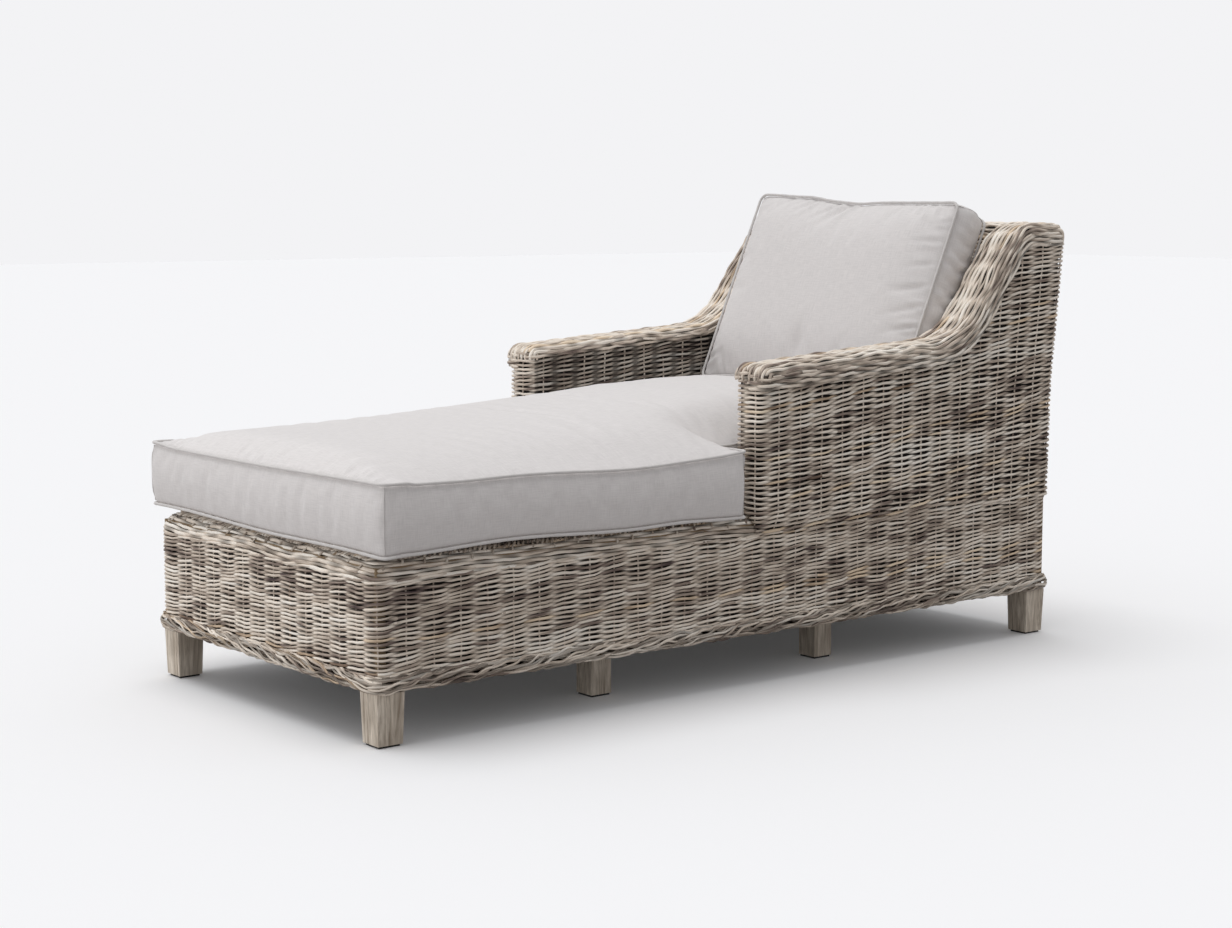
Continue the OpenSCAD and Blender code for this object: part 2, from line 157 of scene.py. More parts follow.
class Outline:
    """A plane curve read by its length, with the normal on its right-hand side."""

    def __init__(self, points, radii=0.0, closed=False):
        self.s, self.p = line_to(points, radii, closed)
        t = np.gradient(self.p, axis=0)
        if closed:
            t[0] = t[-1] = self.p[1] - self.p[-2]
        soft = np.array([0.25, 0.5, 0.25])
        t = np.stack([np.convolve(np.pad(t[:, i], 1, "edge"), soft, "valid") for i in (0, 1)], 1)
        t = unit(t)
        self.n = np.stack([t[:, 1], -t[:, 0]], 1)
        self.length = float(self.s[-1])

    def at(self, s):
        """Points and normals at the lengths s."""
        p = np.stack([np.interp(s, self.s, self.p[:, i]) for i in (0, 1)], 1)
        n = np.stack([np.interp(s, self.s, self.n[:, i]) for i in (0, 1)], 1)
        return p, unit(n)

    def where(self, x, y):
        """The length at which the outline passes nearest to a point."""
        return float(self.s[np.argmin(np.hypot(self.p[:, 0] - x, self.p[:, 1] - y))])


def arc(centre, r, a0, a1, count=12):
    a = np.radians(np.linspace(a0, a1, count))
    return [(centre[0] + r * math.cos(t), centre[1] + r * math.sin(t)) for t in a]


def arm_top(y):
    return ARM_Z + math.tan(ARM_SLOPE) * (y - BAND_Y)


dip_run = DIP_R * (math.sin(SWEEP_SLOPE) - math.sin(ARM_SLOPE))
dip_rise = DIP_R * (math.cos(ARM_SLOPE) - math.cos(SWEEP_SLOPE))
brow_run = BROW_R * math.sin(SWEEP_SLOPE)
brow_rise = BROW_R * (1 - math.cos(SWEEP_SLOPE))
sweep_rise = BACK_Z - ARM_Z + math.tan(ARM_SLOPE) * BAND_Y - dip_rise - brow_rise
dip_y = (BACK_TOP_Y - dip_run - brow_run - sweep_rise / math.tan(SWEEP_SLOPE)) / (
    1 - math.tan(ARM_SLOPE) / math.tan(SWEEP_SLOPE))


def sweep_points(depth):
    """Side view of the arm and back top, y and z, at that depth under the surface."""
    a, b = math.degrees(ARM_SLOPE), math.degrees(SWEEP_SLOPE)
    dip = (dip_y - DIP_R * math.sin(ARM_SLOPE), arm_top(dip_y) + DIP_R * math.cos(ARM_SLOPE))
    return (
        [(BAND_Y, arm_top(BAND_Y) - depth)]
        + arc(dip, DIP_R + depth, a - 90, b - 90)
        + arc((BACK_TOP_Y, BACK_Z - BROW_R), BROW_R - depth, b + 90, 90)
        + arc((FLARE_Y - EDGE_R, BACK_Z - EDGE_R), EDGE_R - depth, 90, 0)
    )


sweep_line = np.array(sweep_points(0.0))


def sweep_height(y):
    """Height of the arm and back top over y."""
    return np.interp(y, sweep_line[:, 0], sweep_line[:, 1])


def back_face_y(z):
    """The woven back's front face at height z."""
    return BACK_FOOT_Y + (z - DECK_Z) * math.tan(LEAN)


# ---------------------------------------------------------------- canes
class Bundle:
    """Canes gathered into one mesh. Each has its own tone and its own strip of the bake's UV map."""

    SIDES = 5
    LANE_GAP = 0.004

    def __init__(self, name):
        self.name = name
        self.canes = []
        self.sheets = []

    def cane(self, line, normal, wide, thick, tone, dip=None, tint=0.0):
        """One cane along a line, flat side towards normal."""
        count = len(line)
        if count < 3:
            return
        t = unit(np.gradient(line, axis=0))
        b = unit(np.cross(t, normal))
        m = np.cross(b, t)
        taper = np.ones(count)
        taper[0] = taper[-1] = END_TAPER
        wide = np.broadcast_to(wide, count) * taper
        thick = np.broadcast_to(thick, count) * taper
        a = 2 * np.pi * np.arange(self.SIDES) / self.SIDES
        ring = (
            line[:, None, :]
            + wide[:, None, None] * np.cos(a)[None, :, None] * b[:, None, :]
            + thick[:, None, None] * np.sin(a)[None, :, None] * m[:, None, :]
        )
        along = lengths_along(line)
        dip = np.zeros(count) if dip is None else np.broadcast_to(dip, count)
        self.canes.append((ring, along, float(tone), dip, float(tint)))

    def sheet(self, grid, inward, thick=0.002):
        """A thin closed dark sheet of painted shade behind the canes: a grid of points and the way in."""
        self.sheets.append((grid, grid + inward * thick))

    def lanes(self):
        """Packs the canes end to end in lanes of the bake's map, the longest first."""
        reach = [cane[1][-1] for cane in self.canes]
        girth = 2 * math.pi * CANE
        lane_length = max(math.sqrt(sum(reach) * girth) * 1.05, max(reach)) + 1e-4
        filled, place = [], {}
        for i in sorted(range(len(reach)), key=lambda i: -reach[i]):
            need = reach[i] + self.LANE_GAP
            for r, used in enumerate(filled):
                if used + need <= lane_length:
                    place[i] = (r, used)
                    filled[r] += need
                    break
            else:
                place[i] = (len(filled), 0.0)
                filled.append(need)
        return place, lane_length, len(filled)

    def build(self, materials):
        """The one mesh: every cane as a closed tube, then the dark sheets of painted shade."""
        verts, strip, cane_uv, tones, dips, tints, mats = [], [], [], [], [], [], []
        quad_lists, loop_counts = [], []
        start = 0
        k = self.SIDES
        place, row_length, rows = self.lanes()
        height = 1.0 / (rows + 2)
        for i, (ring, along, tone, dip, tint) in enumerate(self.canes):
            n = len(along)
            r, used = place[i]
            verts.append(ring.reshape(-1, 3))
            tones.append(np.full(n * k, tone))
            tints.append(np.full(n * k, tint))
            dips.append(np.repeat(dip, k))
            a = np.arange(n - 1)[:, None] * k
            j = np.arange(k)
            j1 = (j + 1) % k
            quads = np.stack([a + j, a + k + j, a + k + j1, a + j1], -1).reshape(-1, 4) + start
            u0 = used / row_length
            m = np.stack([along[:-1], along[1:], along[1:], along[:-1]], -1)[:, None, :].repeat(k, 1)
            uu = m / row_length + u0
            vv = np.stack([j, j, j + 1, j + 1], -1)[None].repeat(n - 1, 0) / k
            strip.append(np.stack([uu, (r + 0.06 + 0.88 * vv) * height], -1).reshape(-1, 2))
            cane_uv.append(np.stack([m, vv + i % 97], -1).reshape(-1, 2))
            quad_lists.append(quads.reshape(-1))
            loop_counts.append(np.full(len(quads), 4))
            for cap in (j, j[::-1] + (n - 1) * k):
                quad_lists.append(cap + start)
                loop_counts.append(np.array([k]))
                strip.append(np.tile([min(1.0, u0), (r + 0.5) * height], (k, 1)))
                cane_uv.append(np.tile([0.0, float(i % 97)], (k, 1)))
            mats.append(np.zeros(len(quads) + 2, int))
            start += n * k
        for front, back in self.sheets:
            gu, gv = front.shape[:2]
            verts.append(front.reshape(-1, 3))
            verts.append(back.reshape(-1, 3))
            idx = np.arange(gu * gv).reshape(gu, gv) + start
            rear = idx + gu * gv
            quads = np.concatenate([
                np.stack([idx[:-1, :-1], idx[1:, :-1], idx[1:, 1:], idx[:-1, 1:]], -1).reshape(-1, 4),
                np.stack([rear[:-1, :-1], rear[:-1, 1:], rear[1:, 1:], rear[1:, :-1]], -1).reshape(-1, 4),
                np.stack([idx[:-1, 0], rear[:-1, 0], rear[1:, 0], idx[1:, 0]], -1),
                np.stack([idx[:-1, -1], idx[1:, -1], rear[1:, -1], rear[:-1, -1]], -1),
                np.stack([idx[0, :-1], idx[0, 1:], rear[0, 1:], rear[0, :-1]], -1),
                np.stack([idx[-1, :-1], rear[-1, :-1], rear[-1, 1:], idx[-1, 1:]], -1),
            ])
            quad_lists.append(quads.reshape(-1))
            loop_counts.append(np.full(len(quads), 4))
            strip.append(np.tile([0.5, (rows + 1) * height], (len(quads) * 4, 1)))
            cane_uv.append(np.zeros((len(quads) * 4, 2)))
            n = 2 * gu * gv
            tones.append(np.zeros(n))
            tints.append(np.zeros(n))
            dips.append(np.full(n, -1.0))
            mats.append(np.ones(len(quads), int))
            start += n
        return mesh_object(
            self.name, np.concatenate(verts), np.concatenate(quad_lists),
            np.concatenate(loop_counts), materials,
            uvs={"OFBake": np.concatenate(strip), "cane": np.concatenate(cane_uv)},
            values={"tone": np.concatenate(tones), "dip": np.concatenate(dips),
                    "tint": np.concatenate(tints)},
            material_index=np.concatenate(mats))


def mesh_object(name, verts, loops, counts, materials, uvs=None, values=None, material_index=None):
    """An object from plain arrays."""
    me = bpy.data.meshes.new(name)
    me.vertices.add(len(verts))
    me.vertices.foreach_set("co", np.asarray(verts, np.float32).ravel())
    me.loops.add(len(loops))
    me.loops.foreach_set("vertex_index", np.asarray(loops, np.int32))
    me.polygons.add(len(counts))
    me.polygons.foreach_set("loop_start", np.r_[0, np.cumsum(counts)[:-1]].astype(np.int32))
    me.update(calc_edges=True)
    me.polygons.foreach_set("use_smooth", np.ones(len(counts), bool))
    if material_index is not None:
        me.polygons.foreach_set("material_index", material_index.astype(np.int32))
    for uv_name, data in (uvs or {}).items():
        layer = me.uv_layers.new(name=uv_name)
        layer.data.foreach_set("uv", data.astype(np.float32).ravel())
    for value_name, data in (values or {}).items():
        layer = me.attributes.new(value_name, "FLOAT", "POINT")
        layer.data.foreach_set("value", data.astype(np.float32))
    for m in materials:
        me.materials.append(m)
    ob = bpy.data.objects.new(name, me)
    bpy.context.scene.collection.objects.link(ob)
    return ob


def wobble(s, size, wave):
    """A slow random wander along s."""
    a, b, c = rng.uniform(0, 2 * np.pi, 3)
    k = 2 * np.pi / wave
    return size * (0.5 * np.sin(k * s + a) + 0.3 * np.sin(1.73 * k * s + b)
                   + 0.2 * np.sin(3.1 * k * s + c))


class Drift:
    """A slow wander shared by neighbouring rows."""

    def __init__(self, size, count=6, waves=(0.11, 0.50), across=0.8):
        self.k = 2 * np.pi / rng.uniform(*waves, count)
        self.r = rng.uniform(-across, across, count)
        self.f = rng.uniform(0, 2 * np.pi, count)
        self.a = size * rng.uniform(0.4, 1.0, count) / math.sqrt(count)

    def at(self, s, row):
        return sum(a * np.sin(k * s + r * row + f)
                   for a, k, r, f in zip(self.a, self.k, self.r, self.f))


def runs_of(good):
    """Start and end of every unbroken run of True."""
    edges = np.flatnonzero(np.diff(np.r_[0, good.astype(int), 0]))
    return zip(edges[::2], edges[1::2])


def pieces_of(total, stake, cut, offset):
    """A row cut into canes that start and end at stakes."""
    at = -int(rng.uniform(0, cut[0]) / stake)
    while at * stake < total:
        size = max(2, round(rng.uniform(*cut) / stake))
        a = max(0.0, (at + offset) * stake - 0.1 * stake)
        b = min(total, (at + offset + size) * stake + 0.3 * stake)
        at += size
        if b - a > 0.5 * stake:
            yield a, b


def no_shade(p):
    return 0.0


def lay(bundle_for, p, n, keep, wide, thick, wave, tone, painted_shade=no_shade):
    """Adds one cane, or the parts of it that lie inside the panel. The last function given paints shade on
    it by darkening it.
    """
    wave = wave - painted_shade(p)
    shade = rng.uniform(*tone)
    tint = float(rng.random() < 0.05)
    good = np.ones(len(p), bool) if keep is None else keep(p)
    for i0, i1 in runs_of(good):
        if i1 - i0 > 3:
            q = slice(i0, i1)
            s = np.arange(i1 - i0) * 0.007
            girth = 1 + wobble(s, 0.14, 0.09) + wobble(s, 0.05, 0.03)
            bundle_for(p[(i0 + i1) // 2]).cane(
                p[q], n[q], wide * girth, thick * girth, shade, wave[q], tint)


def twine(surface, total, rows, bundle_for, stake=STAKE, keep=None, swell=0.0026, wide=CANE,
          thick=0.0026, pinch=0.24, cut=(0.6, 1.3), tone=(0.0, 1.0), drift=0.34, parts=8,
          painted_shade=no_shade):
    """Rows of paired canes: one passes before a stake and one behind it, and they cross in between.
    surface(s, v) gives points and normals at length s and row v."""
    wander = Drift(drift)
    step = stake / parts
    for row in rows:
        for strand in (0, 1):
            for a, b in pieces_of(total, stake, cut, strand * 0.5):
                s = np.arange(a, b + step / 2, step)
                phase = np.pi * s / stake + np.pi * strand
                v = (row + wander.at(s, row) + pinch * np.sin(phase) ** 3
                     + wobble(s, 0.05, 0.05))
                p, n = surface(s, v)
                # wave also darkens the cane where it passes behind a stake: painted shade
                wave = np.clip(1.5 * np.cos(phase), -1, 1)
                p = p + n * (swell * wave + wobble(s, 0.0004, 0.1))[:, None]
                r = rng.normal(1.0, 0.09)
                lay(bundle_for, p, n, keep, wide * r, thick * r, wave, tone, painted_shade)


def weave(surface, total, rows, bundle_for, stake=0.029, keep=None, swell=0.0022, wide=0.0040,
          thick=0.0034, cut=(0.5, 1.1), tone=(0.2, 1.0), drift=0.20, parts=4, lift=0.0, dip_shade=1.0,
          painted_shade=no_shade):
    """Single canes over and under the stakes, each row against the next."""
    wander = Drift(drift)
    step = stake / parts
    for row in rows:
        for a, b in pieces_of(total, stake, cut, 0.5 * (row % 2)):
            s = np.arange(a, b + step / 2, step)
            phase = np.pi * (s / stake + row)
            v = row + wander.at(s, row) + wobble(s, 0.10, 0.07)
            p, n = surface(s, v)
            wave = np.cos(phase)
            p = p + n * (swell * wave + lift + wobble(s, 0.0005, 0.1))[:, None]
            r = rng.normal(1.0, 0.10)
            # the value laid with the cane darkens it where it passes under, to the given strength: painted
            # shade
            lay(bundle_for, p, n, keep, wide * r, thick * r, 1 - dip_shade + dip_shade * wave, tone, painted_shade)


def stakes(surface, total, v0, v1, bundle_for, stake=STAKE, keep=None, size=0.0018, out=-0.0003,
           tone=(-0.4, 1.0), step=1.0):
    """The upright canes that the rows go round, from row v0 to row v1."""
    for i in range(int(total / stake) + 1):
        v = np.arange(v0, v1 + step, step)
        s = np.full(len(v), i * stake) + wobble(v, 0.0012, 12)
        p, n = surface(s, v)
        lay(bundle_for, p + n * out, n, keep, size, size, np.full(len(v), 0.35), tone)


def rope(place, total, bundle, count, lay_length, tall, deep, wide=0.0033, twist=1, tone=(0.0, 1.1)):
    """Canes laid round each other. place(s) gives the middle line and its outward normals."""
    s = np.arange(0, total, ROPE_STEP)
    middle, n = place(s)
    up = np.array([0, 0, 1.0])
    for c in range(count):
        phase = twist * 2 * np.pi * s / lay_length + 2 * np.pi * c / count + wobble(s, 0.55, 0.16)
        swell = 1 + wobble(s, 0.30, 0.13)
        out = n * (np.cos(phase) * deep * swell)[:, None] + up * (np.sin(phase) * tall * swell)[:, None]
        face = n * np.cos(phase)[:, None] + up * np.sin(phase)[:, None]
        r = rng.uniform(0.85, 1.2)
        # the value laid with each strand is painted shade: darker and lighter by turns as it twists
        lay(lambda _: bundle, middle + out, face, None, wide * r, wide * r * 0.9,
            -0.10 + 0.55 * np.cos(1.7 * phase + c), tone)


# ---------------------------------------------------------------- materials
def node(tree, kind, inputs=None, **settings):
    """A node with its settings, its sockets linked or set."""
    made = tree.nodes.new(kind)
    for key, value in settings.items():
        setattr(made, key, value)
    for key, value in (inputs or {}).items():
        if isinstance(value, bpy.types.NodeSocket):
            tree.links.new(value, made.inputs[key])
        else:
            made.inputs[key].default_value = value
    return made


def math_node(tree, operation, *values):
    return node(tree, "ShaderNodeMath", dict(enumerate(values)), operation=operation).outputs[0]


def noise(tree, vector, scale, detail, **more):
    inputs = {"Vector": vector, "Scale": scale, "Detail": detail, **more}
    return node(tree, "ShaderNodeTexNoise", inputs).outputs[0]


def ramp(tree, fac, stops):
    made = node(tree, "ShaderNodeValToRGB", {0: fac})
    points = made.color_ramp.elements
    points[0].position, points[0].color = stops[0][0], (*stops[0][1], 1)
    points[1].position, points[1].color = stops[-1][0], (*stops[-1][1], 1)
    for at, colour in stops[1:-1]:
        points.new(at).color = (*colour, 1)
    return made.outputs[0]


def mix(tree, fac, a, b, blend="MIX"):
    b = (*b, 1) if isinstance(b, tuple) else b
    return node(tree, "ShaderNodeMix", {0: fac, 6: a, 7: b}, data_type="RGBA", blend_type=blend).outputs[2]


def scaled(tree, vector, scale):
    return node(tree, "ShaderNodeMapping", {"Vector": vector, "Scale": scale}).outputs[0]


def object_place(tree):
    return node(tree, "ShaderNodeTexCoord").outputs["Object"]


def fibre(tree, name):
    """A value that every cane carries."""
    return node(tree, "ShaderNodeAttribute", attribute_name=name).outputs["Fac"]


def new_material(name, roughness, **sockets):
    mat = bpy.data.materials.new(name)
    mat.use_nodes = True
    shader = mat.node_tree.nodes["Principled BSDF"]
    shader.inputs["Roughness"].default_value = roughness
    for socket, value in sockets.items():
        shader.inputs[socket.replace("_", " ")].default_value = value
    return mat, mat.node_tree, shader


def finish_material(tree, shader, colour, height=None, strength=0.0, distance=0.0):
    """Links the colour and, where there is one, the bump."""
    tree.links.new(colour, shader.inputs["Base Color"])
    if height is not None:
        bump = node(tree, "ShaderNodeBump", {"Height": height, "Strength": strength, "Distance": distance})
        tree.links.new(bump.outputs[0], shader.inputs["Normal"])


def cane_material(name):
    """Grey-washed rattan: streaks along each cane, weathered patches, and painted shade where it dips
    under.
    """
    mat, tree, shader = new_material(name, 0.72, Specular_IOR_Level=0.25)
    uv = node(tree, "ShaderNodeUVMap", uv_map="cane").outputs[0]
    streak = noise(tree, scaled(tree, uv, (22, 5, 1)), 1.0, 4.0)
    patch = noise(tree, scaled(tree, uv, (9, 0.7, 1)), 1.0, 2.0)
    region = noise(tree, scaled(tree, object_place(tree), (4.0, 4.0, 15)), 1.0, 3.0)
    fac = math_node(tree, "MULTIPLY", fibre(tree, "tone"), 0.34)
    for source, share in ((streak, 0.70), (patch, 1.00), (region, 0.80)):
        fac = math_node(tree, "ADD", fac, math_node(tree, "MULTIPLY_ADD", source, share, -share / 2))
    fac = math_node(tree, "ADD", fac, 0.385)
    colour = ramp(tree, fac, [
        (0.06, (0.070, 0.048, 0.048)), (0.26, (0.260, 0.200, 0.170)), (0.44, (0.590, 0.500, 0.415)),
        (0.62, (0.880, 0.785, 0.680)), (0.92, (0.980, 0.925, 0.845))])
    tan = mix(tree, 1.0, colour, (0.97, 0.88, 0.76), "MULTIPLY")
    colour = mix(tree, fibre(tree, "tint"), colour, tan)
    # painted shade: the value laid with each cane darkens its colour where it dips under
    dip_shade = node(tree, "ShaderNodeMapRange", {
        "Value": fibre(tree, "dip"), "From Min": -1.0, "From Max": 0.3,
        "To Min": 0.24, "To Max": 1.0}).outputs[0]
    shade = node(tree, "ShaderNodeCombineColor", {0: dip_shade, 1: dip_shade, 2: dip_shade}).outputs[0]
    finish_material(tree, shader, mix(tree, 1.0, colour, shade, "MULTIPLY"), streak, 0.5, 0.0008)
    return mat


def shadow_material():
    """Painted shade: a near-black sheet behind the weave, seen through its gaps."""
    mat, tree, shader = new_material("painted_shade_sheet", 0.9)
    speck = noise(tree, object_place(tree), 160.0, 3.0)
    colour = ramp(tree, speck, [(0.3, (0.010, 0.007, 0.007)), (0.7, (0.035, 0.026, 0.024))])
    finish_material(tree, shader, colour)
    return mat


def wood_material(name, light, dark, along=(18, 18, 1.6)):
    """Weathered timber with grain along Z, or along the axis with the smallest scale."""
    mat, tree, shader = new_material(name, 0.62)
    place = object_place(tree)
    warp = noise(tree, scaled(tree, place, tuple(a * 0.6 for a in along)), 1.5, 2.0)
    warped = node(tree, "ShaderNodeVectorMath", {
        0: scaled(tree, place, along), 1: warp}, operation="ADD").outputs[0]
    grain = noise(tree, warped, 9.0, 6.0, Roughness=0.65)
    between = tuple((a + b) / 2 for a, b in zip(light, dark))
    colour = ramp(tree, grain, [(0.30, dark), (0.48, between), (0.66, light)])
    cloud = noise(tree, place, 14.0, 2.0)
    weather = ramp(tree, cloud, [(0.35, (0.78, 0.76, 0.74)), (0.65, (1.0, 1.0, 1.0))])
    finish_material(tree, shader, mix(tree, 1.0, colour, weather, "MULTIPLY"), grain, 0.55, 0.0012)
    return mat


def fabric_material(name, colour, uv_map=None):
    """Plain-woven cloth: threads both ways with slubs."""
    mat, tree, shader = new_material(
        name, 0.88, Specular_IOR_Level=0.15, Sheen_Weight=0.25, Sheen_Roughness=0.5)
    place = node(tree, "ShaderNodeUVMap", uv_map=uv_map).outputs[0] if uv_map else object_place(tree)
    warp, weft = (noise(tree, scaled(tree, place, scale), 1.0, 3.0)
                  for scale in ((38, 520, 38), (520, 38, 520)))
    half = math_node(tree, "MULTIPLY", math_node(tree, "ADD", warp, weft), 0.5)
    dark = tuple(c * 0.92 for c in colour)
    light = tuple(min(1.0, c * 1.03) for c in colour)
    finish_material(tree, shader, ramp(tree, half, [(0.38, dark), (0.60, light)]), half, 0.22, 0.0006)
    return mat


def plain_material(name, colour, roughness, metallic=0.0):
    """Metal or rubber with a fine grain."""
    mat, tree, shader = new_material(name, roughness, Metallic=metallic)
    speck = noise(tree, object_place(tree), 300.0, 3.0)
    dark = tuple(c * 0.8 for c in colour)
    finish_material(tree, shader, ramp(tree, speck, [(0.35, dark), (0.65, colour)]), speck, 0.4, 0.0003)
    return mat


cane_mat = cane_material("rattan")
shade_sheet_mat = shadow_material()
leg_mat = wood_material("leg_oak", (0.92, 0.83, 0.71), (0.38, 0.31, 0.24))
timber_mat = wood_material("frame_timber", (0.36, 0.26, 0.15), (0.17, 0.11, 0.06), (18, 1.6, 18))
fabric_mat = fabric_material("cushion_fabric", (0.73, 0.70, 0.69), "cloth")
piping_mat = fabric_material("piping_fabric", (0.66, 0.635, 0.62), "cloth")
steel_mat = plain_material("bright_steel", (0.55, 0.55, 0.56), 0.35, 1.0)
glide_mat = plain_material("glide_plastic", (0.012, 0.012, 0.013), 0.5)
tape_mat = fabric_material("zip_tape", (0.42, 0.41, 0.40))
CANES = [cane_mat, shade_sheet_mat]


def finish_piece(ob, body, slot, *nodes):
    """Rides a piece on its body and hides the frame's parts that it stands for."""
    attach(ob, body)
    if nodes:
        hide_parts(*nodes)
    return ob


# ---------------------------------------------------------------- woven panels
SKIN = WICKER * 0.45  # the canes' middle lies this far inside the panel's outer face
FRONT_CORNER = 0.022
REAR_CORNER = 0.030
BASE_ROWS = 20
ARM_ROWS = 32
BACK_ROWS = 22
FLARE_H = 0.040
ARM_FLARE = ARM_X - BASE_X
DEPTH = 0.0055

STANDS_FOR = {
    "base_weave_front": "base_wicker_front", "base_weave_left": "base_wicker_left",
    "base_weave_right": "base_wicker_right", "rear_weave": "rear_wicker",
    "arm_weave_left": "arm_wicker_left", "arm_weave_right": "arm_wicker_right",
    "back_inner_weave": "back_inner_wicker", "seat_deck_weave": "seat_deck_wicker",
    "arm_band_canes_left": "arm_band_left", "arm_band_canes_right": "arm_band_right",
    "back_top_canes": "back_top_band"}
for border, sides in (("bottom_border", ("front", "rear", "left", "right")),
                      ("top_border", ("front", "left", "right"))):
    STANDS_FOR |= {f"{border}_canes_{side}": f"{border}_{side}" for side in sides}
bundles = {name: Bundle(name) for name in STANDS_FOR}


def only(name):
    """The bundle for a panel that is all one piece."""
    return lambda _: bundles[name]


def upright(p, n, z):
    """Points and normals of a plan, stood at height z."""
    return np.column_stack([p, z]), np.column_stack([n, np.zeros(len(p))])


def lay_sheet(bundle, rows, depth, flipped=False):
    """A dark sheet of painted shade through rows of points and normals, that far under them."""
    way = -1 if flipped else 1
    points = np.stack([p - n * depth for p, n in rows], 1)
    inward = np.stack([-n for _, n in rows], 1)
    bundle.sheet(points[::way], inward[::way])


def shade_backing(bundle, place, z_levels, start, end, depth=DEPTH, step=0.02):
    """A dark sheet of painted shade behind a panel: start(z) and end(z) bound it at each height."""
    count = max(3, int(max(abs(end(z) - start(z)) for z in z_levels) / step))
    lay_sheet(bundle, [place(np.linspace(start(z), end(z), count), np.full(count, z))
                       for z in z_levels], depth)


# Base: one ring of rows round all four sides
base_ring = Outline(
    [(-BASE_X + SKIN, FOOT_Y + SKIN), (BASE_X - SKIN, FOOT_Y + SKIN),
     (BASE_X - SKIN, HEAD_Y - SKIN), (-BASE_X + SKIN, HEAD_Y - SKIN)],
    [FRONT_CORNER, FRONT_CORNER, REAR_CORNER, REAR_CORNER], closed=True)


def side_of(p, names, margin=0.03):
    """The bundle of the side that a point of the base lies on."""
    if p[1] > HEAD_Y - margin:
        return bundles[names["rear"]]
    if p[1] < FOOT_Y + margin:
        return bundles[names["front"]]
    return bundles[names["right" if p[0] > 0 else "left"]]


BASE_NAMES = {"rear": "rear_weave", "front": "base_weave_front",
              "right": "base_weave_right", "left": "base_weave_left"}


def base_bundle(p):
    return side_of(p, BASE_NAMES)


def seam_height(y):
    """Where the base weave gives way to the arm weave."""
    return SHOULDER_Z + math.tan(SEAM_SLOPE) * np.maximum(0, y - ARM_Y)


def base_place(s, z):
    return upright(*base_ring.at(np.mod(s, base_ring.length)), z)


def base_surface(s, v):
    p, _ = base_ring.at(np.mod(s, base_ring.length))
    low = BORDER_TOP + 0.002
    return base_place(s, low + v / BASE_ROWS * (seam_height(p[:, 1]) - low))


twine(base_surface, base_ring.length, range(-1, BASE_ROWS + 1), base_bundle)
stakes(base_surface, base_ring.length, -1, BASE_ROWS, base_bundle)
corner = [base_ring.where(x, y) for x, y in (
    (BASE_X, FOOT_Y), (BASE_X, HEAD_Y), (-BASE_X, HEAD_Y))]
for name, s0, s1 in zip(
        ("base_weave_front", "base_weave_right", "rear_weave", "base_weave_left"),
        [0.0] + corner, corner + [base_ring.length]):
    shade_backing(bundles[name], base_place, np.linspace(BORDER_LOW + 0.01, SHOULDER_Z + 0.018, 4),
            lambda z, s0=s0: s0, lambda z, s1=s1: s1)

# Arms and back: rows from inside one arm, round its front, the side and the rear, to the other
ARM_FACE = ARM_Y - 0.009 + SKIN  # the front weave's line, flush with the band's curled end
ARM_INNER = ARM_IN - 0.007 + SKIN
upper_path = Outline(
    [(ARM_INNER, 0.82), (ARM_INNER, ARM_FACE), (ARM_X - SKIN, ARM_FACE),
     (ARM_X - SKIN, HEAD_Y - SKIN), (-ARM_X + SKIN, HEAD_Y - SKIN), (-ARM_X + SKIN, ARM_FACE),
     (-ARM_INNER, ARM_FACE), (-ARM_INNER, 0.82)],
    [0, 0.012, 0.016, REAR_CORNER, REAR_CORNER, 0.016, 0.012, 0])


def arm_level(y, v):
    """Height of row v of the arm and back weave over y."""
    run = np.clip(y - ARM_Y, 0, None)
    low = SHOULDER_Z + math.tan(SEAM_SLOPE) * run
    top = ARM_Z - 0.034 + math.tan(ARM_SLOPE) * run
    high = BACK_Z - 0.034
    below = low + v / ARM_ROWS * (top - low)
    above = top + (v - ARM_ROWS) / BACK_ROWS * (high - top)
    return np.where(v <= ARM_ROWS, below, above)


def upper_place(s, z):
    p, n = upper_path.at(np.clip(s, 0, upper_path.length))
    outside = np.abs(p[:, 0]) > ARM_IN + 0.02
    flare = -ARM_FLARE * np.clip((SHOULDER_Z + FLARE_H - z) / FLARE_H, 0, 1) * outside
    rearward = ease((p[:, 1] - 0.1) / (HEAD_Y - 0.1)) * np.clip((0.80 - z) / 0.45, 0, 1)
    flare = np.minimum(flare, -0.013 * rearward * outside)
    back = (FLARE_Y - HEAD_Y) * np.clip((z - FLARE_FROM_Z) / (BACK_Z - EDGE_R - FLARE_FROM_Z), 0, 1.1)
    p = p + np.column_stack([np.sign(p[:, 0]) * flare * np.abs(n[:, 0]),
                             back * np.clip((p[:, 1] - HEAD_Y + 0.30) / 0.28, 0, 1) ** 2])
    return upright(p, n, z)


def upper_surface(s, v):
    p, _ = upper_path.at(np.clip(s, 0, upper_path.length))
    return upper_place(s, arm_level(p[:, 1], v))


def upper_keep(p):
    """Inside the arm and back panels: under the bands, in front of the back, over the deck."""
    x, y, z = np.abs(p[:, 0]), p[:, 1], p[:, 2]
    rear = y > HEAD_Y - 0.05
    inner = (x < ARM_IN + 0.02) & ~rear
    outer = (x > BASE_X - 0.012) & (y > ARM_Y + 0.008)
    across = np.clip((x - (BASE_X - SHOULDER)) / SHOULDER, 0, 1)
    round_top = SHOULDER_Z + SHOULDER * np.sqrt(1 - across ** 2)
    under = z < sweep_height(y) - np.where(inner, 0.014, 0.026)
    ahead = (y < back_face_y(z) + 0.006) | ~inner
    above = (z > DECK_Z + 0.001) | ((outer | rear) & (z > SHOULDER_Z + 0.001))
    foot = (y < ARM_Y + 0.012) & (z > round_top - 0.004)
    return under & ahead & (above | foot)


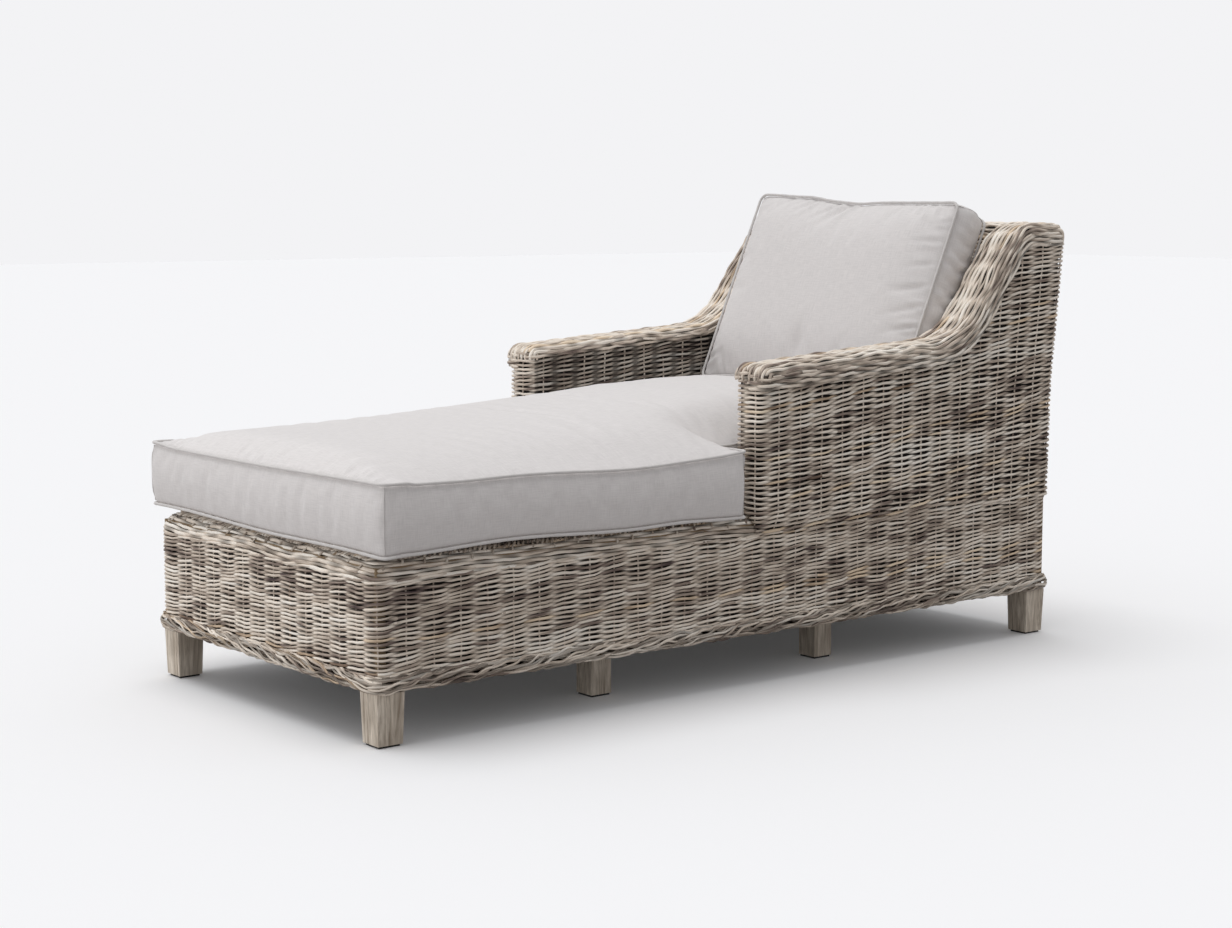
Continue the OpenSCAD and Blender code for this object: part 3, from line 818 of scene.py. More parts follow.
def upper_bundle(p):
    if p[1] > HEAD_Y - 0.06 and abs(p[0]) < ARM_IN:
        return bundles["rear_weave"]
    return bundles["arm_weave_right" if p[0] > 0 else "arm_weave_left"]


def inner_arm_shade(p):
    """Painted shade: the inner faces of the arms are darkened against the outer ones."""
    inside = (p[:, 1] > ARM_Y + 0.012) * (p[:, 1] < HEAD_Y - 0.05)
    return 1.30 * (np.abs(p[:, 0]) < ARM_IN + 0.02) * inside


twine(upper_surface, upper_path.length, range(0, ARM_ROWS + BACK_ROWS + 1), upper_bundle,
      keep=upper_keep, cut=(0.45, 0.95), painted_shade=inner_arm_shade)
stakes(upper_surface, upper_path.length, -1, ARM_ROWS + BACK_ROWS, upper_bundle, keep=upper_keep)


def mirrored(function):
    return lambda z: upper_path.length - function(z)


def sweep_front(z):
    """Where a panel under the sweep starts at height z."""
    rise = sweep_line[: np.argmax(sweep_line[:, 1]) + 1]
    return max(ARM_Y + SKIN, float(np.interp(z + 0.006, rise[:, 1], rise[:, 0])))


def foot_start(z):
    """Where the arm's front face meets the rounded border at height z."""
    drop = np.clip((z - SHOULDER_Z) / SHOULDER, 0, 1)
    return upper_path.where(BASE_X - SHOULDER + SHOULDER * math.sqrt(1 - drop ** 2) - 0.003, ARM_FACE)


inner_end = upper_path.where(ARM_IN, ARM_Y)
outer_start = upper_path.where(ARM_X, ARM_Y)
rear_start = upper_path.where(ARM_X, HEAD_Y)
panel_parts = (
    (DECK_Z - 0.004, BACK_Z - 0.036, lambda z: upper_path.where(ARM_IN, back_face_y(z)),
     lambda z: upper_path.where(ARM_IN, sweep_front(z))),
    (DECK_Z - 0.004, ARM_Z - 0.030, lambda z: inner_end, lambda z: outer_start),
    (SHOULDER_Z + 0.001, DECK_Z - 0.004, foot_start, lambda z: outer_start),
    (SHOULDER_Z - 0.002, BACK_Z - 0.036, lambda z: upper_path.where(ARM_X, sweep_front(z)),
     lambda z: rear_start),
)
for z0, z1, start, end in panel_parts:
    levels = np.linspace(z0, z1, 30)
    shade_backing(bundles["arm_weave_right"], upper_place, levels, start, end)
    shade_backing(bundles["arm_weave_left"], upper_place, levels, mirrored(end), mirrored(start))
shade_backing(bundles["rear_weave"], upper_place, np.linspace(SHOULDER_Z - 0.002, BACK_Z - 0.040, 14),
        lambda z: rear_start, lambda z: upper_path.length - rear_start)

# Inner back: level rows up its lean
back_up = np.array([0, math.sin(LEAN), math.cos(LEAN)])
back_out = np.array([0, -math.cos(LEAN), math.sin(LEAN)])
BACK_PITCH = 0.0095
back_height = (BACK_Z - 0.036 - DECK_Z) / math.cos(LEAN)
back_rows = int(back_height / BACK_PITCH)


def back_place(s, up):
    """Points on the woven back, s across it from the left and up along its lean."""
    p = np.column_stack([s - ARM_IN, np.full(len(s), BACK_FOOT_Y), np.full(len(s), DECK_Z)])
    p = p + np.outer(up, back_up) - back_out * SKIN
    return p, np.tile(back_out, (len(s), 1))


def back_surface(s, v):
    return back_place(s, v * BACK_PITCH)


twine(back_surface, 2 * ARM_IN, range(1, back_rows + 1), only("back_inner_weave"), tone=(0.0, 0.8))
stakes(back_surface, 2 * ARM_IN, 0, back_rows, only("back_inner_weave"))
shade_backing(bundles["back_inner_weave"], back_place, np.linspace(0.002, back_height, 4),
        lambda z: 0.004, lambda z: 2 * ARM_IN - 0.004)

# Deck under the seat cushion: wide canes across, laid over slats
DECK_PITCH = 0.0145
DECK_STAKE = 0.048
deck_x = BASE_X - SHOULDER + 0.008
deck_y = FOOT_Y + SHOULDER - 0.008
deck_rows = int((BACK_FOOT_Y - deck_y) / DECK_PITCH)


def deck_place(s, along):
    p = np.column_stack([s - deck_x, deck_y + along, np.full(len(s), DECK_Z - 0.0062)])
    return p, np.tile([0, 0, 1.0], (len(s), 1))


def deck_surface(s, v):
    return deck_place(s, v * DECK_PITCH)


weave(deck_surface, 2 * deck_x, range(0, deck_rows + 1), only("seat_deck_weave"), stake=DECK_STAKE,
      swell=0.0022, wide=0.0060, thick=0.0024, tone=(0.0, 0.55), cut=(0.76, 0.80))
stakes(deck_surface, 2 * deck_x, 0, deck_rows, only("seat_deck_weave"), stake=DECK_STAKE,
       size=0.0034, tone=(0.0, 0.5))
shade_backing(bundles["seat_deck_weave"], deck_place, np.linspace(0, deck_rows * DECK_PITCH, 4),
        lambda z: 0.0, lambda z: 2 * deck_x, depth=0.003)

# Bottom border: a rope of canes along each side, twisted away from the near corners
border_middle = (BORDER_LOW + BORDER_TOP) / 2
BORDER_TALL = 0.0130
BORDER_DEEP = 0.0065
border_out = border_box[1].x - BASE_X
border_line = BASE_X + border_out - BORDER_DEEP - 0.0036
border_foot = FOOT_Y + (BASE_X - border_line)
border_head = HEAD_Y - (BASE_X - border_line)
border_ring = Outline(
    [(-border_line, border_foot), (border_line, border_foot),
     (border_line, border_head), (-border_line, border_head)], 0.026, closed=True)
ring_corners = [0.0] + [border_ring.where(x, y) for x, y in (
    (border_line, border_foot), (border_line, border_head), (-border_line, border_head))] + [
    border_ring.length]
for i, (side, twist) in enumerate((("front", -1), ("right", 1), ("rear", -1), ("left", 1))):
    begin, run = ring_corners[i] - 0.012, ring_corners[i + 1] - ring_corners[i] + 0.024

    def border_place(s, begin=begin):
        p, n = border_ring.at(np.mod(begin + s, border_ring.length))
        return upright(p, n, np.full(len(s), border_middle))

    rope(border_place, run, bundles[f"bottom_border_canes_{side}"], 17, 0.46, BORDER_TALL,
         BORDER_DEEP, wide=0.0025, twist=twist)

# Top border: long canes over the rounded shoulder, with bindings
SHOULDER_R = SHOULDER - 0.007
SHOULDER_ROWS = 9


def shoulder_outline(inset):
    """Plan of the shoulder, drawn in from the woven face."""
    x, y = BASE_X - 0.003 - inset, FOOT_Y + 0.003 + inset
    return Outline([(-x, ARM_Y + 0.012), (-x, y), (x, y), (x, ARM_Y + 0.012)],
                   max(FRONT_CORNER - inset, 0.004))


INSET_STEP = 0.002
shoulder_cache = {}
shoulder_total = shoulder_outline(0).length


def shoulder_surface(s, v):
    """Row v of the shoulder: from the woven face, over the round, to the deck."""
    points, normals = np.zeros((len(s), 3)), np.zeros((len(s), 3))
    turn = np.clip(v / (SHOULDER_ROWS - 1.0), -0.12, 1.0) * np.pi / 2
    inward = np.clip(v - (SHOULDER_ROWS - 1.0), 0, None) * 0.008
    inset = SHOULDER_R * (1 - np.cos(turn)) + inward
    z = SHOULDER_Z + SHOULDER_R * np.sin(turn)
    for key in (0, 1):
        level = float(np.floor(inset.mean() / INSET_STEP) * INSET_STEP + key * INSET_STEP)
        if level not in shoulder_cache:
            shoulder_cache[level] = shoulder_outline(level)
        path = shoulder_cache[level]
        p, n = path.at(s / shoulder_total * path.length)
        share = 1 - np.abs(inset.mean() - level) / INSET_STEP
        points[:, :2] += share * p
        normals[:, :2] += share * n
    points[:, :2] -= normals[:, :2] * (inset - inset.mean())[:, None]
    points[:, 2] = z
    flat = unit(normals[:, :2])
    out = np.column_stack([flat * np.cos(turn)[:, None], np.sin(turn)])
    return points, out


TOP_NAMES = {"rear": "top_border_canes_right", "front": "top_border_canes_front",
             "right": "top_border_canes_right", "left": "top_border_canes_left"}


def top_bundle(p):
    return side_of(p, TOP_NAMES, 0.05)


def under_cushion_shade(p):
    """Painted shade on the flat of the border, under the cushion's edge."""
    return 0.9 * ease((p[:, 2] - SHOULDER_Z - 0.024) / 0.012)


weave(shoulder_surface, shoulder_total, range(0, SHOULDER_ROWS + 2), top_bundle, stake=0.058,
      swell=0.0014, wide=0.0036, thick=0.0030, tone=(0.25, 1.25), drift=0.50, parts=7, lift=-0.001,
      cut=(0.30, 0.8), dip_shade=0.8, painted_shade=under_cushion_shade)
for s0 in np.arange(0.01, shoulder_total, 0.048):
    s0 += rng.uniform(-0.008, 0.008)
    start = rng.uniform(2.6, 4.4)
    v = np.linspace(start, start + rng.uniform(0.9, 1.6), 5)
    p, n = shoulder_surface(s0 + (v - v[0]) * 0.004, v)
    lay(top_bundle, p + n * 0.0030, n, None, 0.0026, 0.0018, np.full(5, -0.1), (0.1, 0.7))
for s0 in np.arange(0.01, shoulder_total, 0.0115):
    v = np.linspace(rng.uniform(4.9, 5.8), 12.6, 12)
    lean = rng.uniform(0.0055, 0.0080) * (v - v[0])
    p, n = shoulder_surface(np.clip(s0 + lean, 0, shoulder_total), v)
    # the laid values darken each cane towards the deck: painted shade under the cushion's edge
    lay(top_bundle, p + n * 0.0028, n, None, 0.0030, 0.0024, np.linspace(0.1, -1.3, 12), (-0.3, 0.6))

# Arm bands: canes along the sweep, curled over at the front, with wraps round the edge
BAND_SKIN = 0.0038
BAND_DEPTH = 0.0045
LIP = 0.028
LIP_R = 0.020
band_view = Outline(
    [(BAND_Y + BAND_SKIN, arm_top(BAND_Y) - BAND_SKIN - LIP),
     (BAND_Y + BAND_SKIN, arm_top(BAND_Y) - BAND_SKIN)]
    + sweep_points(BAND_SKIN)[1:], [0, LIP_R] + [0] * (len(sweep_line) - 1))
band_across = Outline(
    [(BAND_IN + BAND_SKIN, -0.016), (BAND_IN + BAND_SKIN, 0), (BAND_OUT - BAND_SKIN, 0),
     (BAND_OUT - BAND_SKIN, -0.020)], [0, 0.011, 0.014, 0])
BAND_CANES = 17
CORNER_R = 0.032
FRONT_BEND = 0.011
REAR_TUCK = 0.008


def rear_tuck(y):
    """How far the band's outer side is drawn in towards the rear."""
    return REAR_TUCK * ease((y - 0.62) / 0.22)


def flush_rear(p):
    """Draws the band in at the rear, flush with the side panel and round its corner."""
    p = p.copy()
    outer = np.clip((p[:, 0] - (BAND_IN + BAND_OUT) / 2) / 0.02, 0, 1)
    p[:, 0] -= rear_tuck(p[:, 1]) * outer
    far_x = BAND_OUT - BAND_SKIN - REAR_TUCK
    dx = np.clip((p[:, 0] - (far_x - CORNER_R)) / CORNER_R, 0, 1)
    dy = np.clip((p[:, 1] - (FLARE_Y - BAND_SKIN - CORNER_R)) / CORNER_R, 0, 1)
    share = np.maximum(dx, dy) / np.maximum(np.hypot(dx, dy), 1e-6)
    both = (dx > 0) & (dy > 0)
    p[:, 0] = np.where(both, far_x - CORNER_R + dx * share * CORNER_R, p[:, 0])
    p[:, 1] = np.where(both, FLARE_Y - BAND_SKIN - CORNER_R + dy * share * CORNER_R, p[:, 1])
    return p


def band_surface(s, v):
    """Row v across the right arm's band."""
    line, up = band_view.at(np.clip(s, 0, band_view.length))
    up = -up
    q = np.clip(v / BAND_CANES, 0, 1) * band_across.length
    flat, out = band_across.at(q)
    out = -out
    p = np.column_stack([flat[:, 0], line[:, 0] + flat[:, 1] * up[:, 0],
                         line[:, 1] + flat[:, 1] * up[:, 1]])
    n = np.column_stack([out[:, 0], out[:, 1] * up[:, 0], out[:, 1] * up[:, 1]])
    return flush_rear(p), unit(n)


def band_side_line(depth, outer=True):
    """A wrap from the band's front, round the corner and along its side, that far below the top."""
    x_far = BAND_OUT - BAND_SKIN if outer else BAND_IN + BAND_SKIN
    x_near = (BAND_IN + BAND_OUT) / 2
    y0 = BAND_Y + BAND_SKIN
    rise = [(x_far, y, z) for y, z in sweep_points(depth)[1:] if y < BACK_TOP_Y + 0.001]
    front = [(x_near, y0, arm_top(y0) - depth), (x_far, y0, arm_top(y0) - depth)]
    if not outer:
        return line_to(front + rise, [0, FRONT_BEND] + [0] * len(rise), step=WRAP_STEP)[1]
    drawn_in = EDGE_R - math.sqrt(max(0.0, EDGE_R ** 2 - max(0.0, EDGE_R - depth) ** 2))
    y_rear = FLARE_Y - BAND_SKIN - drawn_in
    rear = [(x_far, y_rear, BACK_Z - depth), (x_far - 0.075, y_rear, BACK_Z - depth)]
    bends = [0, FRONT_BEND] + [0] * len(rise) + [CORNER_R, 0]
    line = line_to(front + rise + rear, bends, step=WRAP_STEP)[1]
    line[:, 0] -= rear_tuck(line[:, 1]) * (line[:, 0] > x_far - 0.04)
    return line


def band_side_normals(p, outer=True):
    middle_x = (BAND_IN + BAND_OUT) / 2
    across = np.clip((np.abs(p[:, 0] - middle_x) - 0.030) / 0.015, 0, 1) * (1 if outer else -1)
    front = -np.clip((BAND_Y + 0.016 - p[:, 1]) / 0.012, 0, 1)
    rear = np.clip((p[:, 1] - FLARE_Y + 0.030) / 0.016, 0, 1)
    n = np.column_stack([across * (1 - 0.5 * rear), front + rear, np.full(len(p), 0.05)])
    return unit(n)


OUTER_WRAPS = (0.022, 0.0282, 0.0344, 0.0406, 0.0468)
INNER_WRAPS = (0.018, 0.0255)
for side, sign in (("right", 1), ("left", -1)):
    bundle = bundles[f"arm_band_canes_{side}"]
    flip = np.array([sign, 1, 1])

    def band_side_surface(s, v, flip=flip):
        p, n = band_surface(s, v)
        return p * flip, n * flip

    weave(band_side_surface, band_view.length, range(0, BAND_CANES + 1), lambda _: bundle,
          stake=0.046, swell=0.0019, wide=0.0036, thick=0.0031, tone=(0.1, 1.1), drift=0.60,
          parts=6, cut=(0.5, 1.0), dip_shade=0.7)
    for wraps, outer in ((OUTER_WRAPS, True), (INNER_WRAPS, False)):
        for i, depth in enumerate(wraps):
            line = band_side_line(depth, outer)
            s = np.arange(len(line)) * WRAP_STEP
            n = band_side_normals(line, outer)
            wave = np.cos(np.pi * (s / 0.052 + i))
            line = line + n * (0.0018 * wave + 0.0008)[:, None]
            line[:, 2] += wobble(s, 0.0016, 0.12) + wobble(s, 0.0010, 0.05)
            # wave also darkens the wrap where it dips under: painted shade
            lay(lambda _: bundle, line * flip, n * flip, None, 0.0035, 0.0030, wave, (0.2, 1.1))
    grid_s = np.linspace(0.0, band_view.length, 70)
    lay_sheet(bundle, [band_side_surface(grid_s, np.full(70, v)) for v in np.linspace(0, BAND_CANES, 10)],
              BAND_DEPTH, side == "left")

# Back top band: canes across the chair over the rounded top
top_view = Outline(
    [(BACK_TOP_Y - 0.007 + BAND_SKIN, BACK_Z - 0.032),
     (BACK_TOP_Y - 0.007 + BAND_SKIN, BACK_Z - BAND_SKIN),
     (FLARE_Y - BAND_SKIN, BACK_Z - BAND_SKIN), (FLARE_Y - BAND_SKIN, BACK_Z - EDGE_R)],
    [0, 0.014, EDGE_R - BAND_SKIN, 0])
TOP_CANES = int(top_view.length / 0.0088)
top_half = BAND_IN + 0.010


def top_surface(s, v):
    line, up = top_view.at(np.clip(v / TOP_CANES, 0, 1) * top_view.length)
    p = np.column_stack([s - top_half, line])
    return p, np.column_stack([np.zeros(len(s)), -up])


weave(top_surface, 2 * top_half, range(0, TOP_CANES + 1), only("back_top_canes"), stake=0.034,
      swell=0.0020, wide=0.0043, thick=0.0036, tone=(0.2, 1.1), drift=0.30, parts=5,
      cut=(0.68, 0.70), dip_shade=0.6)
grid_s = np.linspace(0, 2 * top_half, 30)
lay_sheet(bundles["back_top_canes"],
          [top_surface(grid_s, np.full(30, v)) for v in np.linspace(0, TOP_CANES, 14)], BAND_DEPTH)

for name, bundle in bundles.items():
    piece = bundle.build(CANES)
    finish_piece(piece, "frame", "rattan", STANDS_FOR[name])

# ---------------------------------------------------------------- cushions
CELL = 0.012
PIPING = 0.0031
CORNER_SEAM = 0.0011


def lines_through(stops):
    """Grid lines about a cell apart that pass through every stop."""
    out = [stops[0]]
    for a, b in zip(stops[:-1], stops[1:]):
        out += list(np.linspace(a, b, max(1, round((b - a) / CELL)) + 1)[1:])
    return np.array(out)


def rim_of(quads):
    """The points round the edge of a sheet of quads, in order."""
    ends = {(int(a), int(b)) for a, b in zip(quads.reshape(-1), np.roll(quads, -1, axis=1).reshape(-1))}
    follow = {a: b for a, b in ends if (b, a) not in ends}
    loop = [min(follow)]
    while follow[loop[-1]] != loop[0]:
        loop.append(follow[loop[-1]])
    return np.array(loop)


class Cushion:
    """A boxed cushion: two panels over the same plan, joined by a strip all round.
    u and v run over the plan and w is the thickness; frame holds its origin and its three axes."""

    def __init__(self, name, us, vs, inside, low, high, axes, corner):
        self.name, self.axes = name, axes
        nu, nv = len(us), len(vs)
        cell = inside((us[:-1] + us[1:])[:, None] / 2, (vs[:-1] + vs[1:])[None, :] / 2)
        cell = np.broadcast_to(cell, (nu - 1, nv - 1))
        used = np.zeros((nu, nv), bool)
        for i, j in ((0, 0), (1, 0), (1, 1), (0, 1)):
            used[i:nu - 1 + i, j:nv - 1 + j] |= cell
        number = np.full((nu, nv), -1)
        number[used] = np.arange(used.sum())
        ci, cj = np.nonzero(cell)
        ring = ((ci, cj), (ci + 1, cj), (ci + 1, cj + 1), (ci, cj + 1))
        quads = np.stack([number[corner] for corner in ring], 1)
        loop = rim_of(quads)
        gi, gj = np.nonzero(used)
        plan = np.stack([us[gi], vs[gj]], 1)
        back, ahead = plan[np.roll(loop, 1)] - plan[loop], plan[np.roll(loop, -1)] - plan[loop]
        turn = back[:, 0] * ahead[:, 1] - back[:, 1] * ahead[:, 0]
        bend = unit(back) + unit(ahead)
        self.corners = np.flatnonzero(np.abs(turn) > 1e-9)
        plan[loop] += bend * corner * (1 - math.sqrt(0.5))
        count = len(plan)
        z_low, z_high = low(plan[:, 0], plan[:, 1]), high(plan[:, 0], plan[:, 1])
        depth = float(np.mean(z_high[loop] - z_low[loop]))
        layers = max(3, round(depth / CELL))
        points = [np.column_stack([plan, z_low]), np.column_stack([plan, z_high])]
        rim = [loop]
        for k in range(1, layers):
            t = k / layers
            rim.append(np.arange(len(loop)) + 2 * count + (k - 1) * len(loop))
            z = z_low[loop] * (1 - t) + z_high[loop] * t
            points.append(np.column_stack([plan[loop], z]))
        rim.append(loop + count)
        rim = np.array(rim)
        step = np.linalg.norm(plan[np.roll(loop, -1)] - plan[loop], axis=1)
        around = np.r_[0, np.cumsum(step)]
        faces = [quads[:, ::-1], quads + count]
        uvs = [plan[quads[:, ::-1]], plan[quads]]
        bakes = [self.atlas(plan, quads[:, ::-1], 1), self.atlas(plan, quads, 0)]
        nxt = np.roll(np.arange(len(loop)), -1)
        for k in range(layers):
            faces.append(np.stack([rim[k], rim[k][nxt], rim[k + 1][nxt], rim[k + 1]], 1))
            t0, t1 = depth * k / layers, depth * (k + 1) / layers
            a, b = around[:-1], around[1:]
            low_edge, high_edge = np.full(len(a), t0), np.full(len(a), t1)
            uvs.append(np.stack([np.stack([a, low_edge], 1), np.stack([b, low_edge], 1),
                                 np.stack([b, high_edge], 1), np.stack([a, high_edge], 1)], 1))
            bakes.append(self.strip(uvs[-1], depth, around[-1]))
        self.points = np.concatenate(points)
        self.faces = np.concatenate(faces)
        self.uv = np.concatenate(uvs).reshape(-1, 2)
        self.bake = np.concatenate(bakes).reshape(-1, 2)
        self.count, self.rim = count, rim

    @staticmethod
    def atlas(plan, quads, side):
        """Where a panel goes on the bake's map: the two panels side by side."""
        low, size = plan.min(0), np.ptp(plan, axis=0)
        scale = min(0.49 / size[0], 0.62 / size[1])
        return ((plan - low) * scale + [0.5 * side + 0.003, 0.003])[quads]

    @staticmethod
    def strip(uv, depth, around):
        """Where the strip goes: four lengths, one above the other, over the panels."""
        part = around / 4
        row = np.minimum(uv[:, :, 0].mean(1) // part, 3)[:, None]
        u = np.clip((uv[:, :, 0] - row * part) / part, 0, 1) * 0.98 + 0.01
        return np.stack([u, 0.66 + row * 0.08 + uv[:, :, 1] / depth * 0.07], -1)

    def world(self, p):
        origin, axes = self.axes
        return origin + p @ axes

    def build(self, materials):
        ob = mesh_object(self.name, self.world(self.points), self.faces.reshape(-1),
                         np.full(len(self.faces), 4), materials,
                         uvs={"OFBake": self.bake, "cloth": self.uv})
        me = ob.data
        seam = {tuple(sorted((int(a), int(b)))) for line in (self.rim[0], self.rim[-1])
                for a, b in zip(line, np.roll(line, -1))}
        for k in self.corners:
            seam |= {tuple(sorted((int(a), int(b)))) for a, b in zip(self.rim[:-1, k], self.rim[1:, k])}
        crease = me.attributes.new("crease_edge", "FLOAT", "EDGE")
        ends = np.zeros(len(me.edges) * 2, int)
        me.edges.foreach_get("vertices", ends)
        sharp = [1.0 if (min(a, b), max(a, b)) in seam else 0.0 for a, b in ends.reshape(-1, 2).tolist()]
        crease.data.foreach_set("value", sharp)
        self.ends = ends.reshape(-1, 2)
        return ob


def coordinates(mesh):
    out = np.zeros(len(mesh.vertices) * 3, np.float32)
    mesh.vertices.foreach_get("co", out)
    return out.reshape(-1, 3).astype(float)


def averaged(values, ends, rounds):
    """Values smoothed along the mesh's edges."""
    degree = np.bincount(ends.reshape(-1), minlength=len(values))[:, None]
    for _ in range(rounds):
        total = np.zeros_like(values)
        for axis in range(values.shape[1]):
            total[:, axis] = (
                np.bincount(ends[:, 0], values[ends[:, 1], axis], len(values))
                + np.bincount(ends[:, 1], values[ends[:, 0], axis], len(values)))
        values = total / degree
    return values


def inflate(ob, ends, held, pressure, growth, cap, frames=20):
    """Blender's cloth with air inside it and its seams held. The swelling is capped, its folds stay."""
    before = coordinates(ob.data)
    group = ob.vertex_groups.new(name="held")
    group.add([int(i) for i in held], 1.0, "REPLACE")
    cloth = ob.modifiers.new("cloth", "CLOTH")
    settings = cloth.settings
    settings.quality = 6
    settings.mass = 0.25
    settings.tension_stiffness = settings.compression_stiffness = 22
    settings.shear_stiffness = 8
    settings.bending_stiffness = 0.4
    settings.tension_damping = settings.compression_damping = settings.shear_damping = 12
    settings.use_pressure = True
    settings.uniform_pressure_force = pressure
    settings.shrink_min = -growth
    settings.vertex_group_mass = "held"
    settings.effector_weights.gravity = 0
    cloth.point_cache.frame_start = 1
    cloth.point_cache.frame_end = frames
    scene = bpy.context.scene
    for f in range(1, frames + 1):
        scene.frame_set(f)
    made = ob.evaluated_get(bpy.context.evaluated_depsgraph_get()).to_mesh()
    move = coordinates(made) - before
    ob.to_mesh_clear()
    ob.modifiers.remove(cloth)
    scene.frame_set(1)
    fold_cap = 0.006
    broad = averaged(move, ends, 24)
    folds = move - averaged(move, ends, 4)
    size = np.linalg.norm(broad, axis=1)[:, None] + 1e-9
    free = np.ones(len(move))
    free[held] = 0
    free = averaged(free[:, None], ends, 1) * (free[:, None] > 0)
    folds_size = np.linalg.norm(folds, axis=1)[:, None] + 1e-9
    total = (broad * cap * np.tanh(size / cap) / size
             + folds * fold_cap * np.tanh(folds_size / fold_cap) / folds_size) * free
    ob.data.vertices.foreach_set("co", (before + total).astype(np.float32).ravel())
    ob.data.update()


def refined(ob):
    """One level of subdivision, made real."""
    modifier = ob.modifiers.new("smooth", "SUBSURF")
    modifier.levels = modifier.render_levels = 1
    fine = bpy.data.meshes.new_from_object(ob.evaluated_get(bpy.context.evaluated_depsgraph_get()))
    ob.modifiers.remove(modifier)
    old, ob.data = ob.data, fine
    bpy.data.meshes.remove(old)
    fine.name = ob.name


def normals_of(mesh):
    out = np.zeros(len(mesh.vertices) * 3, np.float32)
    mesh.vertex_normals.foreach_get("vector", out)
    return out.reshape(-1, 3).astype(float)


def ripple(s, waves, seed):
    """Band-limited noise along s, at most about 1."""
    draw = np.random.default_rng(seed)
    k = 2 * np.pi / draw.uniform(*waves, 9)
    f = draw.uniform(0, 2 * np.pi, 9)
    slow = 0.6 + 0.4 * np.sin(2 * np.pi * s / draw.uniform(0.22, 0.41) + draw.uniform(0, 6))
    return slow * sum(np.sin(a * s + b) for a, b in zip(k, f)) / 3.6


def seam_finder(lines):
    """For points: the distance to the nearest seam and the length along that seam."""
    tree = KDTree(sum(len(line) for line in lines))
    lengths, number = [], 0
    for line in lines:
        s = lengths_along(line)
        for point in line:
            tree.insert(point, number)
            number += 1
        lengths.append(s)
    tree.balance()
    lengths = np.concatenate(lengths)

    def find(points):
        found = [tree.find(q) for q in points]
        return np.array([f[2] for f in found]), lengths[[f[1] for f in found]]
    return find


def dense(line, step=0.004):
    """A closed line resampled evenly."""
    ring = np.vstack([line, line[:1]])
    s = lengths_along(ring)
    even = np.linspace(0, s[-1], int(s[-1] / step), endpoint=False)
    return np.stack([np.interp(even, s, ring[:, i]) for i in range(3)], 1)


def softened(line, rounds):
    for _ in range(rounds):
        line = (np.roll(line, 1, axis=0) + 2 * line + np.roll(line, -1, axis=0)) / 4
    return line


def tubes(name, lines, radius, materials, closed=True, sides=8):
    """Round cords along lines. Each has its own strip of the bake's UV map."""
    verts, loops, counts, bake, cloth = [], [], [], [], []
    start = 0
    for row, line in enumerate(lines):
        n = len(line)
        t = np.roll(line, -1, axis=0) - np.roll(line, 1, axis=0) if closed else np.gradient(line, axis=0)
        t = unit(t)
        side = np.cross(t, [0.30, 0.25, 0.92])
        side = unit(side)
        up = np.cross(side, t)
        a = 2 * np.pi * np.arange(sides) / sides
        along = lengths_along(line)
        r = radius * (1 + 0.05 * np.sin(along * 190) + 0.05 * np.sin(along * 71))
        ring = (line[:, None] + r[:, None, None] * (np.cos(a)[None, :, None] * side[:, None]
                                                    + np.sin(a)[None, :, None] * up[:, None]))
        verts.append(ring.reshape(-1, 3))
        m = n if closed else n - 1
        i = np.arange(m)[:, None]
        j = np.arange(sides)[None, :]
        i1, j1 = (i + 1) % n, (j + 1) % sides
        quads = np.stack([i * sides + j, i * sides + j1, i1 * sides + j1, i1 * sides + j], -1)
        loops.append((quads.reshape(-1, 4) + start).reshape(-1))
        counts.append(np.full(m * sides, 4))
        u0 = np.broadcast_to(along[:m, None], (m, sides))
        u1 = np.broadcast_to(np.r_[along, along[-1] + 0.004][1:m + 1][:, None], (m, sides))
        v0 = np.broadcast_to(j / sides, (m, sides))
        v1 = v0 + 1 / sides
        uv = np.stack([np.stack([u0, v0], -1), np.stack([u0, v1], -1),
                       np.stack([u1, v1], -1), np.stack([u1, v0], -1)], 2).reshape(-1, 2)
        bake.append(np.stack([uv[:, 0] / (along[-1] + 0.004) * 0.99,
                              (row + 0.05 + 0.9 * uv[:, 1]) / len(lines)], 1))
        cloth.append(uv * [1, 2 * math.pi * radius])
        if not closed:
            for cap in (np.arange(sides)[::-1], np.arange(sides) + (n - 1) * sides):
                loops.append(cap + start)
                counts.append(np.array([sides]))
                bake.append(np.tile([0.995, (row + 0.5) / len(lines)], (sides, 1)))
                cloth.append(np.zeros((sides, 2)))
        start += n * sides
    return mesh_object(name, np.concatenate(verts), np.concatenate(loops), np.concatenate(counts),
                       materials, uvs={"OFBake": np.concatenate(bake), "cloth": np.concatenate(cloth)})


